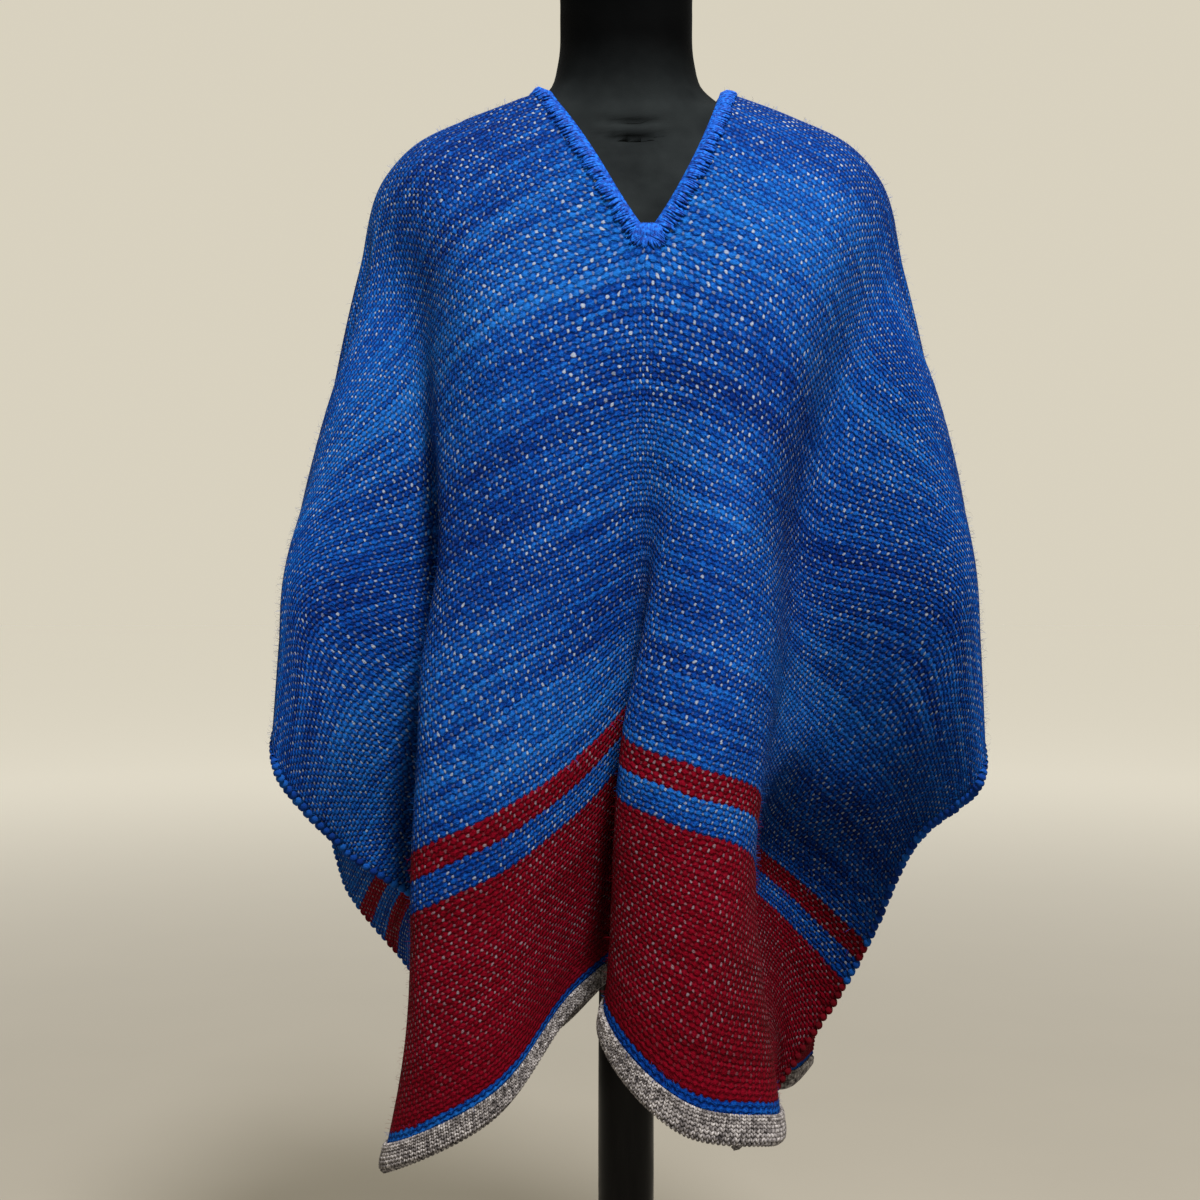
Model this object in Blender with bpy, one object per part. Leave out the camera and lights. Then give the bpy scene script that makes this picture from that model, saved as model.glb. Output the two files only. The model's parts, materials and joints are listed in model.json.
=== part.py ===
"""A hand-woven wool poncho worn on a limbless dress form with a turned stand.

Metres, +Z up. The front of the poncho faces -Y. The origin is the middle of the
flat underside of the stand's foot.

The cloth is one rectangle. A point on it has two flat distances: u across the
cloth, from -HALF_WIDTH to HALF_WIDTH, and v along it, from -BACK_LENGTH at the
back hem over the shoulders (0) to FRONT_LENGTH at the front hem. The tables
below say where the folds hang, and smooth curves through them give the rest.
"""

import math

import bmesh
import bpy
import numpy as np

# The cloth, laid flat
HALF_WIDTH = 0.61
FRONT_LENGTH = 0.93
BACK_LENGTH = 0.93
SLIT_FRONT = 0.236
SLIT_BACK = 0.12
CLOTH_THICKNESS = 0.004
BINDING_HEIGHT = 0.026
BINDING_THICKNESS = 0.0085
EDGING_WIDTH = 0.012
EDGING_THICKNESS = 0.0012
SEAM_GAP = 0.0003

# The mesh of the cloth
COLUMN_SPACING = 0.028
ROW_SPACING = 0.034
CROWN_ROW_SPACING = 0.017
CROWN_REACH = 0.085

# How the cloth lies on the form
FORM_CLEARANCE = 0.0024
NECK_SHIFT = 0.006
SIDE_SHIFT = 0.009
NECK_HALF_OPENING = 0.081
NECK_ROUNDING = 0.8
FALL_WIDTH = 0.10
SHOULDER_U = 0.125
HOLLOW_START = 0.08

# Levels of the tables, as flat distances from the shoulder line
YOKE_LEVEL = 0.17
FRONT_LEVELS = (0.36, 0.50, 0.645, 0.93)
BACK_LEVELS = (0.36, 0.54, 0.74, 0.93)

# Shoulder line and yokes, one side: flat u, then place x, y, z
SHOULDER_LINE = (
    # u, x, y, z
    (0.000, 0.081, 0.000, 1.378),
    (0.065, 0.143, 0.000, 1.356),
    (0.125, 0.196, 0.000, 1.330),
    (0.165, 0.221, 0.000, 1.302),
    (0.250, 0.243, -0.004, 1.220),
    (0.610, 0.305, -0.012, 0.874),
)
FRONT_YOKE = (
    # u, x, y, z
    (0.000, 0.028, -0.116, 1.285),
    (0.125, 0.152, -0.100, 1.222),
    (0.240, 0.196, -0.052, 1.155),
    (0.354, 0.250, -0.098, 1.078),
    (0.610, 0.284, -0.112, 0.846),
)
BACK_YOKE = (
    # u, x, y, z
    (0.000, 0.000, 0.102, 1.278),
    (0.125, 0.133, 0.098, 1.232),
    (0.220, 0.198, 0.048, 1.160),
    (0.290, 0.238, 0.070, 1.105),
    (0.610, 0.308, 0.085, 0.842),
)

# Hollows that fan out from the shoulder point under the side of the cloth.
# Angles are from the shoulder line, plus to the front; depths are for each metre out.
SIDE_HOLLOWS = (
    # middle and half width in degrees, depth inward
    (12.0, 15.0, 0.14),
    (-20.0, 17.0, 0.16),
)

# Folds, left edge to right edge: flat u and place x, y, z at two levels a table
FRONT_UPPER_FOLDS = (
    # fold, u, x, y, z at the chest, u, x, y, z at the waist
    ("left edge", -0.610, -0.272, -0.212, 0.793, -0.610, -0.238, -0.098, 0.716),
    ("left rim", -0.530, -0.268, -0.191, 0.856, -0.520, -0.208, -0.078, 0.768),
    ("left ridge", -0.450, -0.264, -0.170, 0.915, -0.430, -0.163, -0.050, 0.808),
    ("left hollow", -0.290, -0.156, -0.056, 0.964, -0.360, -0.148, -0.062, 0.835),
    ("left fold", -0.190, -0.150, -0.124, 1.010, -0.230, -0.163, -0.150, 0.868),
    ("left crest", -0.125, -0.100, -0.148, 1.045, -0.160, -0.104, -0.166, 0.905),
    ("left slope", -0.060, -0.042, -0.144, 1.074, -0.075, -0.040, -0.147, 0.935),
    ("centre", -0.020, 0.000, -0.136, 1.091, -0.020, 0.004, -0.124, 0.960),
    ("valley", 0.012, 0.024, -0.136, 1.091, 0.020, 0.018, -0.126, 0.960),
    ("right lap", 0.040, 0.050, -0.143, 1.080, 0.062, 0.026, -0.152, 0.945),
    ("right crest", 0.070, 0.075, -0.150, 1.066, 0.112, 0.062, -0.184, 0.930),
    ("right fold", 0.115, 0.105, -0.148, 1.045, 0.170, 0.101, -0.170, 0.908),
    ("right hollow", 0.270, 0.152, -0.060, 0.967, 0.310, 0.138, -0.066, 0.852),
    ("right ridge", 0.440, 0.264, -0.165, 0.915, 0.420, 0.178, -0.056, 0.810),
    ("right rim", 0.520, 0.268, -0.190, 0.855, 0.520, 0.222, -0.078, 0.762),
    ("right edge", 0.610, 0.270, -0.212, 0.785, 0.610, 0.242, -0.095, 0.722),
)
FRONT_LOWER_FOLDS = (
    # fold, u, x, y, z at the stripes, u, x, y, z at the hem
    ("left edge", -0.610, -0.174, -0.035, 0.650, -0.610, -0.172, 0.100, 0.462),
    ("left rim", -0.530, -0.142, 0.014, 0.686, -0.570, -0.166, 0.066, 0.458),
    ("left ridge", -0.470, -0.126, 0.000, 0.700, -0.530, -0.162, 0.030, 0.454),
    ("left hollow", -0.370, -0.146, -0.085, 0.708, -0.450, -0.178, -0.045, 0.456),
    ("left fold", -0.270, -0.171, -0.165, 0.719, -0.340, -0.199, -0.140, 0.458),
    ("left crest", -0.190, -0.103, -0.178, 0.753, -0.220, -0.107, -0.182, 0.515),
    ("left slope", -0.090, -0.035, -0.145, 0.800, -0.100, -0.045, -0.112, 0.585),
    ("centre", -0.020, 0.003, -0.111, 0.838, -0.020, 0.006, -0.057, 0.607),
    ("valley", 0.025, 0.012, -0.128, 0.836, 0.025, 0.018, -0.086, 0.600),
    ("right lap", 0.085, -0.004, -0.168, 0.812, 0.120, -0.022, -0.165, 0.578),
    ("right crest", 0.155, 0.046, -0.215, 0.793, 0.240, 0.044, -0.232, 0.516),
    ("right fold", 0.225, 0.094, -0.190, 0.775, 0.310, 0.107, -0.202, 0.500),
    ("right hollow", 0.330, 0.106, -0.100, 0.735, 0.420, 0.124, -0.085, 0.480),
    ("right ridge", 0.460, 0.122, 0.018, 0.695, 0.530, 0.130, 0.025, 0.452),
    ("right rim", 0.540, 0.165, 0.026, 0.660, 0.570, 0.122, 0.062, 0.430),
    ("right edge", 0.610, 0.215, 0.000, 0.615, 0.610, 0.104, 0.090, 0.400),
)
BACK_UPPER_FOLDS = (
    # fold, u, x, y, z at the blades, u, x, y, z at the hips
    ("left edge", -0.610, -0.300, 0.155, 0.752, -0.610, -0.287, 0.220, 0.638),
    ("left ridge", -0.448, -0.272, 0.165, 0.872, -0.520, -0.248, 0.150, 0.700),
    ("left hollow", -0.260, -0.165, 0.095, 0.960, -0.420, -0.185, 0.115, 0.765),
    ("left fold", -0.200, -0.152, 0.116, 1.005, -0.330, -0.195, 0.165, 0.800),
    ("left crest", -0.130, -0.118, 0.125, 1.050, -0.250, -0.165, 0.185, 0.830),
    ("left dip", -0.070, -0.068, 0.126, 1.080, -0.120, -0.095, 0.138, 0.885),
    ("centre", 0.000, 0.000, 0.122, 1.095, 0.000, 0.000, 0.165, 0.925),
    ("right dip", 0.070, 0.068, 0.126, 1.080, 0.130, 0.098, 0.134, 0.885),
    ("right crest", 0.130, 0.118, 0.125, 1.050, 0.250, 0.162, 0.182, 0.832),
    ("right fold", 0.200, 0.152, 0.116, 1.005, 0.330, 0.195, 0.162, 0.800),
    ("right hollow", 0.260, 0.165, 0.095, 0.960, 0.420, 0.185, 0.112, 0.765),
    ("right ridge", 0.448, 0.272, 0.160, 0.872, 0.520, 0.240, 0.138, 0.700),
    ("right edge", 0.610, 0.298, 0.152, 0.752, 0.610, 0.272, 0.190, 0.645),
)
BACK_LOWER_FOLDS = (
    # fold, u, x, y, z at the stripes, u, x, y, z at the hem
    ("left edge", -0.610, -0.202, 0.182, 0.530, -0.610, -0.208, 0.190, 0.458),
    ("left ridge", -0.520, -0.192, 0.128, 0.575, -0.530, -0.172, 0.138, 0.450),
    ("left hollow", -0.430, -0.162, 0.112, 0.605, -0.440, -0.146, 0.152, 0.446),
    ("left fold", -0.335, -0.190, 0.204, 0.615, -0.340, -0.182, 0.242, 0.440),
    ("left crest", -0.265, -0.150, 0.226, 0.635, -0.280, -0.135, 0.264, 0.450),
    ("left dip", -0.125, -0.082, 0.139, 0.690, -0.130, -0.068, 0.140, 0.500),
    ("centre", 0.000, 0.004, 0.198, 0.728, 0.000, 0.008, 0.230, 0.541),
    ("right dip", 0.125, 0.079, 0.134, 0.688, 0.120, 0.060, 0.132, 0.498),
    ("right crest", 0.265, 0.146, 0.221, 0.638, 0.280, 0.130, 0.258, 0.456),
    ("right fold", 0.335, 0.184, 0.200, 0.616, 0.340, 0.172, 0.238, 0.442),
    ("right hollow", 0.430, 0.160, 0.110, 0.605, 0.440, 0.140, 0.150, 0.444),
    ("right ridge", 0.520, 0.190, 0.126, 0.575, 0.530, 0.160, 0.134, 0.448),
    ("right edge", 0.610, 0.200, 0.175, 0.535, 0.610, 0.186, 0.182, 0.456),
)

# The dress form, ring by ring: height, half width, half depth, middle's y
FORM_RINGS = (
    (0.775, 0.118, 0.074, 0.008),
    (0.782, 0.138, 0.088, 0.008),
    (0.805, 0.153, 0.098, 0.008),
    (0.850, 0.158, 0.101, 0.008),
    (0.900, 0.150, 0.097, 0.006),
    (0.950, 0.136, 0.091, 0.003),
    (1.000, 0.124, 0.086, 0.000),
    (1.050, 0.129, 0.096, -0.004),
    (1.100, 0.142, 0.111, -0.010),
    (1.150, 0.153, 0.120, -0.012),
    (1.200, 0.162, 0.113, -0.008),
    (1.240, 0.172, 0.101, -0.002),
    (1.270, 0.185, 0.092, 0.002),
    (1.288, 0.192, 0.084, 0.004),
    (1.306, 0.194, 0.076, 0.004),
    (1.318, 0.188, 0.068, 0.004),
    (1.330, 0.174, 0.062, 0.003),
    (1.350, 0.137, 0.058, 0.001),
    (1.368, 0.084, 0.056, -0.001),
    (1.382, 0.068, 0.056, -0.003),
    (1.405, 0.061, 0.055, -0.006),
    (1.450, 0.0590, 0.054, -0.010),
    (1.495, 0.0585, 0.054, -0.014),
    (1.512, 0.0540, 0.050, -0.015),
    (1.520, 0.0430, 0.040, -0.015),
)
FORM_SIDES = 36

# The stand
POST_SOCKET_DEPTH = 0.060
POST_SIDES = 28
POST_PROFILE = (
    # height, radius
    (0.0420, 0.0270),
    (0.0560, 0.0300),
    (0.0700, 0.0270),
    (0.0800, 0.0215),
    (0.2600, 0.0240),
    (0.4400, 0.0250),
    (0.6200, 0.0235),
    (0.7300, 0.0200),
    (0.8340, 0.0200),
)
BASE_SIDES = 40
BASE_PROFILE = (
    # height, radius
    (0.0000, 0.1850),
    (0.0120, 0.1900),
    (0.0240, 0.1850),
    (0.0280, 0.1700),
    (0.0360, 0.0700),
    (0.0417, 0.0360),
)


def clear_scene():
    """Remove the objects that the file opens with."""
    for item in list(bpy.data.objects):
        bpy.data.objects.remove(item, do_unlink=True)


def make_material(name, colour, roughness, metallic=0.0):
    """A Principled material of one colour."""
    material = bpy.data.materials.new(name)
    material.use_nodes = True
    shader = material.node_tree.nodes["Principled BSDF"]
    shader.inputs["Base Color"].default_value = (*colour, 1.0)
    shader.inputs["Roughness"].default_value = roughness
    shader.inputs["Metallic"].default_value = metallic
    return material


def add_object(name, points, faces, material, smooth=True):
    """A mesh object from points and faces, with its faces turned outward."""
    mesh = bpy.data.meshes.new(name)
    mesh.from_pydata([tuple(float(c) for c in p) for p in points], [], faces)
    work = bmesh.new()
    work.from_mesh(mesh)
    bmesh.ops.recalc_face_normals(work, faces=work.faces)
    work.to_mesh(mesh)
    work.free()
    mesh.materials.append(material)
    item = bpy.data.objects.new(name, mesh)
    bpy.context.scene.collection.objects.link(item)
    if smooth:
        mesh.shade_smooth()
        mesh.set_sharp_from_angle(angle=math.radians(50))
    return item


def smooth_curve(knots, rows, at):
    """Places at the values `at`, on a smooth curve through rows at the knots.

    Each knot's slope is the weighted mean of the slopes beside it.
    """
    knots = np.asarray(knots, float)
    rows = np.asarray(rows, float)
    gaps = np.diff(knots)
    slopes = np.diff(rows, axis=0) / gaps[:, None]
    tangents = np.empty_like(rows)
    before, after = gaps[:-1, None], gaps[1:, None]
    tangents[1:-1] = (slopes[:-1] * after + slopes[1:] * before) / (before + after)
    tangents[0] = 1.5 * slopes[0] - 0.5 * tangents[1]
    tangents[-1] = 1.5 * slopes[-1] - 0.5 * tangents[-2]
    at = np.clip(np.asarray(at, float), knots[0], knots[-1])
    cell = np.clip(np.searchsorted(knots, at, side="right") - 1, 0, len(gaps) - 1)
    width = gaps[cell]
    t = ((at - knots[cell]) / width)[:, None]
    width = width[:, None]
    return (
        (2 * t**3 - 3 * t**2 + 1) * rows[cell]
        + (t**3 - 2 * t**2 + t) * width * tangents[cell]
        + (3 * t**2 - 2 * t**3) * rows[cell + 1]
        + (t**3 - t**2) * width * tangents[cell + 1]
    )


def smooth_along(knots, columns, at):
    """Places at the values `at`, one for each column, on curves that overshoot little.

    columns holds, for each knot, each column's place. A knot's slope is half way from
    the one that never overshoots to the weighted mean of the slopes beside it.
    """
    knots = np.asarray(knots, float)
    gaps = np.diff(knots)[:, None, None]
    slopes = np.diff(columns, axis=0) / gaps
    tangents = np.zeros_like(columns)
    before, after = slopes[:-1], slopes[1:]
    same_way = before * after > 0
    weight_a, weight_b = 2 * gaps[1:] + gaps[:-1], gaps[1:] + 2 * gaps[:-1]
    safe_before = np.where(same_way, before, 1.0)
    safe_after = np.where(same_way, after, 1.0)
    held = (weight_a + weight_b) / (weight_a / safe_before + weight_b / safe_after)
    mean = (before * gaps[1:] + after * gaps[:-1]) / (gaps[1:] + gaps[:-1])
    tangents[1:-1] = (np.where(same_way, held, 0.0) + mean) / 2
    tangents[0], tangents[-1] = slopes[0], slopes[-1]
    at = np.clip(at, knots[0], knots[-1])
    cell = np.clip(np.searchsorted(knots, at, side="right") - 1, 0, len(knots) - 2)
    width = np.diff(knots)[cell][:, None]
    t = (at - knots[cell])[:, None] / width
    index = np.arange(len(at))
    return (
        (2 * t**3 - 3 * t**2 + 1) * columns[cell, index]
        + (t**3 - 2 * t**2 + t) * width * tangents[cell, index]
        + (3 * t**2 - 2 * t**3) * columns[cell + 1, index]
        + (t**3 - t**2) * width * tangents[cell + 1, index]
    )


def smooth_step(t):
    """A soft ramp from 0 to 1."""
    t = np.clip(t, 0.0, 1.0)
    return t * t * (3 - 2 * t)


def yoke_places(table, u, side, shift, side_shift=0.0):
    """Places on a yoke table at flat u, one half at a time because the slit parts them."""
    rows = np.asarray(table)
    places = smooth_curve(rows[:, 0], rows[:, 1:], np.abs(u))
    out = np.abs(u) / HALF_WIDTH
    places[:, 0] = side * places[:, 0] + shift * (1 - out) + side_shift * out**2
    return places


def fold_places(upper, lower, level, u):
    """Places on a pair of fold tables at one of their four levels and flat u."""
    first = 1 + 4 * (level % 2)
    rows = np.asarray([row[first:first + 4] for row in (upper, lower)[level // 2]])
    return smooth_curve(rows[:, 0], rows[:, 1:], u)


def level_places(u, side):
    """(levels, places) of columns at flat u, for each level from back hem to front hem."""
    levels = [-level for level in reversed(BACK_LEVELS)]
    levels += [-YOKE_LEVEL, 0.0, YOKE_LEVEL, *FRONT_LEVELS]
    places = [fold_places(BACK_UPPER_FOLDS, BACK_LOWER_FOLDS, k, u) for k in (3, 2, 1, 0)]
    places.append(yoke_places(BACK_YOKE, u, side, NECK_SHIFT))
    places.append(yoke_places(SHOULDER_LINE, u, side, NECK_SHIFT, SIDE_SHIFT))
    places.append(yoke_places(FRONT_YOKE, u, side, 2.5 * NECK_SHIFT))
    places += [fold_places(FRONT_UPPER_FOLDS, FRONT_LOWER_FOLDS, k, u) for k in (0, 1, 2, 3)]
    return levels, np.stack(places)


def side_hollow(u, v):
    """How far the hollows under the sides draw the cloth inward."""
    out = np.clip(np.abs(u) - SHOULDER_U, 0, None)
    reach = np.clip(np.hypot(out, v) - HOLLOW_START, 0, None)
    angle = np.degrees(np.arctan2(v, np.maximum(out, 1e-6)))
    inward = np.zeros_like(reach)
    for middle, half_width, depth in SIDE_HOLLOWS:
        off = np.clip(np.abs(angle - middle) / half_width, 0, 1)
        inward += np.cos(off * math.pi / 2) ** 2 * reach * depth
    return inward


def form_section(z):
    """Half width, half depth and middle of the form at heights z."""
    rings = np.asarray(FORM_RINGS)
    return [np.interp(z, rings[:, 0], rings[:, k]) for k in (1, 2, 3)]


def form_level(points):
    """Below 0 inside the form and above 0 outside it."""
    half_width, half_depth, middle = form_section(points[:, 2])
    return np.hypot(points[:, 0] / half_width, (points[:, 1] - middle) / half_depth) - 1


def push_off_form(points, distance):
    """Move the points that lie nearer to the form than distance straight out to it."""
    points = points.copy()
    step = 1e-4
    low, high = FORM_RINGS[0][0] - distance, FORM_RINGS[-1][0]
    for _ in range(12):
        level = form_level(points)
        slope = np.stack(
            [(form_level(points + step * axis) - level) / step for axis in np.eye(3)], axis=1
        )
        steep = np.linalg.norm(slope, axis=1)
        away = level / steep
        near = (away < distance) & (points[:, 2] > low) & (points[:, 2] < high)
        push = np.where(near, distance - away, 0.0)
        points += slope / steep[:, None] * push[:, None]
    return points


def hang(u, v):
    """The middle of the cloth at flat points (u, v). A signed zero in u picks the side."""
    u, v = np.broadcast_arrays(np.asarray(u, float), np.asarray(v, float))
    shape = u.shape
    u, v = u.ravel(), v.ravel()
    side = np.where(np.signbit(u), -1.0, 1.0)
    levels, columns = level_places(u, side)
    places = smooth_along(levels, columns, v)
    places[:, 0] -= side * side_hollow(u, v)
    edges = []
    for half in (1.0, -1.0):
        centre_levels, centre = level_places(np.zeros_like(v), np.full_like(v, half))
        edges.append(smooth_along(centre_levels, centre, v))
    spread = (edges[0] - edges[1]) / 2
    height = (edges[0] + edges[1])[:, 2] / 2
    top, low_front, low_back = slit_heights()
    low = np.where(v >= 0, low_front, low_back)
    wanted = np.zeros_like(spread)
    climb = np.clip((height - low) / (top - low), 0, 1)
    wanted[:, 0] = NECK_HALF_OPENING * climb**NECK_ROUNDING
    open_here = (v < SLIT_FRONT) & (v > -SLIT_BACK)
    wanted[~open_here] = 0
    fall = 1 - smooth_step(np.abs(u) / FALL_WIDTH)
    places += side[:, None] * (wanted - spread) * fall[:, None]
    return places.reshape(shape + (3,))


def slit_heights():
    """Heights of the slit's edge at the shoulder line and at its front and back ends."""
    at = np.array([0.0, SLIT_FRONT, -SLIT_BACK])
    levels, centre = level_places(np.zeros(3), np.ones(3))
    return smooth_along(levels, centre, at)[:, 2]


def flat_columns():
    """The columns' flat u, with a close pair each side of the centre for the edging."""
    count = round((HALF_WIDTH - EDGING_WIDTH) / COLUMN_SPACING)
    outward = [EDGING_WIDTH + (HALF_WIDTH - EDGING_WIDTH) * k / count for k in range(count + 1)]
    return [-u for u in reversed(outward)] + [0.0] + outward


def flat_rows(slit, length):
    """The rows' flat v for one half, with rows at the slit's end and round the edging."""
    rows = [SEAM_GAP / 2]
    crown_count = round(CROWN_REACH / CROWN_ROW_SPACING)
    rows += [CROWN_REACH * k / crown_count for k in range(1, crown_count + 1)]
    slit_count = max(1, round((slit - CROWN_REACH) / ROW_SPACING))
    rows += [CROWN_REACH + (slit - CROWN_REACH) * k / slit_count for k in range(1, slit_count + 1)]
    rows.append(slit + EDGING_WIDTH)
    last = length - BINDING_HEIGHT - SEAM_GAP
    rest = round((last - rows[-1]) / ROW_SPACING)
    start = rows[-1]
    rows += [start + (last - start) * k / rest for k in range(1, rest + 1)]
    return rows


class Wall:
    """A closed wall of cloth on a grid of flat points, with its centre slit open."""

    def __init__(self, columns, rows, slit):
        self.columns, self.rows, self.slit = columns, rows, slit
        self.keys = {}
        flat = []
        for j, v in enumerate(rows):
            for i, u in enumerate(columns):
                sides = (-1, 1) if u == 0 and abs(v) < slit - 1e-9 else (0,)
                for side in sides:
                    self.keys[i, j, side] = len(flat)
                    flat.append((-0.0 if side == -1 else u, v))
        self.flat = np.asarray(flat)

    def corner(self, i, j, half):
        """The point at column i and row j, seen from one half of the cloth."""
        return self.keys.get((i, j, half), self.keys.get((i, j, 0)))

    def quads(self):
        """The grid's four-sided faces."""
        faces = []
        for j in range(len(self.rows) - 1):
            for i in range(len(self.columns) - 1):
                half = 1 if self.columns[i] >= 0 else -1
                faces.append((
                    self.corner(i, j, half), self.corner(i + 1, j, half),
                    self.corner(i + 1, j + 1, half), self.corner(i, j + 1, half),
                ))
        return faces


def outward_normals(u, v):
    """The cloth's outward directions at flat points, from its two slopes."""
    step = 0.004
    side = np.where(np.signbit(u), -1.0, 1.0)
    magnitude = np.abs(u)
    near = np.clip(magnitude - step, 0, None) * side
    far = np.clip(magnitude + step, None, HALF_WIDTH) * side
    across = (hang(far, v) - hang(near, v)) * side[..., None]
    low = np.clip(v - step, -BACK_LENGTH, None)
    high = np.clip(v + step, None, FRONT_LENGTH)
    along = hang(u, high) - hang(u, low)
    normal = np.cross(along, across)
    return normal / np.linalg.norm(normal, axis=-1, keepdims=True)


def middle_and_normals(flat):
    """The middle of the cloth, clear of the form, and its outward directions."""
    u, v = flat[:, 0], flat[:, 1]
    middle = push_off_form(hang(u, v), CLOTH_THICKNESS / 2 + FORM_CLEARANCE)
    return middle, outward_normals(u, v)


def close_wall(quads, count):
    """Faces of a closed wall: outer quads, inner quads turned over and the rims."""
    edges = {}
    for a, b, c, d in quads:
        for start, end in ((a, b), (b, c), (c, d), (d, a)):
            edges[start, end] = True
    faces = []
    for a, b, c, d in quads:
        faces += [(a, b, c), (a, c, d)]
        faces += [(c + count, b + count, a + count), (d + count, c + count, a + count)]
    for start, end in edges:
        if (end, start) not in edges:
            low, high = min(start, end), max(start, end)
            faces += [(low, high, high + count), (low, high + count, low + count)]
    return faces


def build_woven_half(name, length_sign, slit, length, material):
    """One half of the woven cloth as a closed wall."""
    rows = [length_sign * v for v in flat_rows(slit, length)]
    wall = Wall(flat_columns(), rows, slit)
    middle, normal = middle_and_normals(wall.flat)
    half = CLOTH_THICKNESS / 2
    points = np.concatenate([middle + normal * half, middle - normal * half])
    return add_object(name, points, close_wall(wall.quads(), len(middle)), material)


def build_binding(name, length_sign, length, material):
    """A knitted strip that carries the cloth on to its hem, thicker and rounded."""
    start = length - BINDING_HEIGHT
    profile = (
        # flat distance down the strip, half thickness
        (0.0, CLOTH_THICKNESS / BINDING_THICKNESS), (0.12, 1.0), (0.80, 1.0), (1.0, 0.55),
    )
    columns = flat_columns()
    rows = [length_sign * (start + part * BINDING_HEIGHT) for part, _ in profile]
    wall = Wall(columns, rows, 0.0)
    middle, normal = middle_and_normals(wall.flat)
    share = np.repeat([share for _, share in profile], len(columns))
    half = (share * BINDING_THICKNESS / 2)[:, None]
    points = np.concatenate([middle + normal * half, middle - normal * half])
    return add_object(name, points, close_wall(wall.quads(), len(middle)), material)


def build_edging(material):
    """The raised band of stitches round the slit, on the cloth's outer face."""
    back = [-v for v in flat_rows(SLIT_BACK, BACK_LENGTH) if v < SLIT_BACK + EDGING_WIDTH + 1e-9]
    front = [v for v in flat_rows(SLIT_FRONT, FRONT_LENGTH) if v < SLIT_FRONT + EDGING_WIDTH + 1e-9]
    rows = sorted(back + front)
    flat, quads = [], []
    keys = {}

    def point(u, v, half):
        split = u == 0 and -SLIT_BACK + 1e-9 < v < SLIT_FRONT - 1e-9
        key = (round(u, 6), round(v, 6), half if split else 0)
        if key not in keys:
            keys[key] = len(flat)
            at_end = v in (rows[0], rows[-1])
            flat.append((-0.0 if split and half < 0 else u * (0.5 if at_end else 1.0), v))
        return keys[key]

    for low, high in zip(rows[:-1], rows[1:]):
        for left, right, half in ((-EDGING_WIDTH, 0.0, -1), (0.0, EDGING_WIDTH, 1)):
            quad = (
                point(left, low, half), point(right, low, half),
                point(right, high, half), point(left, high, half),
            )
            # Behind the shoulder line the cloth's faces are cut along the other diagonal
            quads.append(quad if low >= 0 else quad[1:] + quad[:1])
    middle, normal = middle_and_normals(np.asarray(flat))
    low = CLOTH_THICKNESS / 2 + SEAM_GAP
    points = np.concatenate([
        middle + normal * (low + EDGING_THICKNESS), middle + normal * low,
    ])
    return add_object("neck_edging", points, close_wall(quads, len(middle)), material)


def ring_points(sides, height, half_width, half_depth, middle_y):
    """Points round an upright ellipse at one height."""
    return [
        (
            half_width * math.cos(2 * math.pi * k / sides),
            middle_y + half_depth * math.sin(2 * math.pi * k / sides),
            height,
        )
        for k in range(sides)
    ]


def stack_rings(rings, sides):
    """Points and faces of a closed body through rings of equal sides."""
    points = [point for ring in rings for point in ring]
    faces = []
    for level in range(len(rings) - 1):
        for k in range(sides):
            a, b = level * sides + k, level * sides + (k + 1) % sides
            faces.append((a, b, b + sides, a + sides))
    faces.append(tuple(reversed(range(sides))))
    last = (len(rings) - 1) * sides
    faces.append(tuple(last + k for k in range(sides)))
    return points, faces


def build_form(material):
    """The torso and neck, with a socket for the post in its underside."""
    socket_radius = POST_PROFILE[-1][1] + SEAM_GAP
    bottom = FORM_RINGS[0][0]
    rings = [
        ring_points(FORM_SIDES, bottom + POST_SOCKET_DEPTH, socket_radius, socket_radius, 0.0),
        ring_points(FORM_SIDES, bottom, socket_radius, socket_radius, 0.0),
    ]
    rings += [ring_points(FORM_SIDES, *ring) for ring in FORM_RINGS]
    points, faces = stack_rings(rings, FORM_SIDES)
    return add_object("dress_form", points, faces, material)


def build_turned(name, profile, sides, material):
    """A turned piece from its heights and radii."""
    rings = [ring_points(sides, height, radius, radius, 0.0) for height, radius in profile]
    points, faces = stack_rings(rings, sides)
    return add_object(name, points, faces, material)


def main():
    """Build every piece."""
    clear_scene()
    blue_wool = make_material("blue_wool", (0.02, 0.10, 0.52), 0.95)
    bright_wool = make_material("bright_blue_yarn", (0.0, 0.12, 0.75), 0.9)
    grey_knit = make_material("grey_knit", (0.33, 0.31, 0.28), 0.95)
    velvet = make_material("black_velvet", (0.006, 0.006, 0.008), 0.85)
    black_wood = make_material("black_wood", (0.012, 0.011, 0.012), 0.35)

    build_woven_half("woven_front", 1, SLIT_FRONT, FRONT_LENGTH, blue_wool)
    build_woven_half("woven_back", -1, SLIT_BACK, BACK_LENGTH, blue_wool)
    build_binding("front_hem_binding", 1, FRONT_LENGTH, grey_knit)
    build_binding("back_hem_binding", -1, BACK_LENGTH, grey_knit)
    build_edging(bright_wool)
    build_form(velvet)
    build_turned("stand_post", POST_PROFILE, POST_SIDES, black_wood)
    build_turned("stand_base", BASE_PROFILE, BASE_SIDES, black_wood)


main()
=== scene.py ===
"""Looks for the wool poncho on its dress form: cloth, knit, stitches, velvet, lacquer, light and camera.

The cloth's tables and curves repeat those of the part's source, so that the visible cloth lies on its solids.
A point of the cloth has two flat distances in metres: u across it and v along it, from the back hem (minus)
over the shoulders (0) to the front hem (plus). They are also its UV map, which the weave is drawn in.
"""

import json
import math

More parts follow.
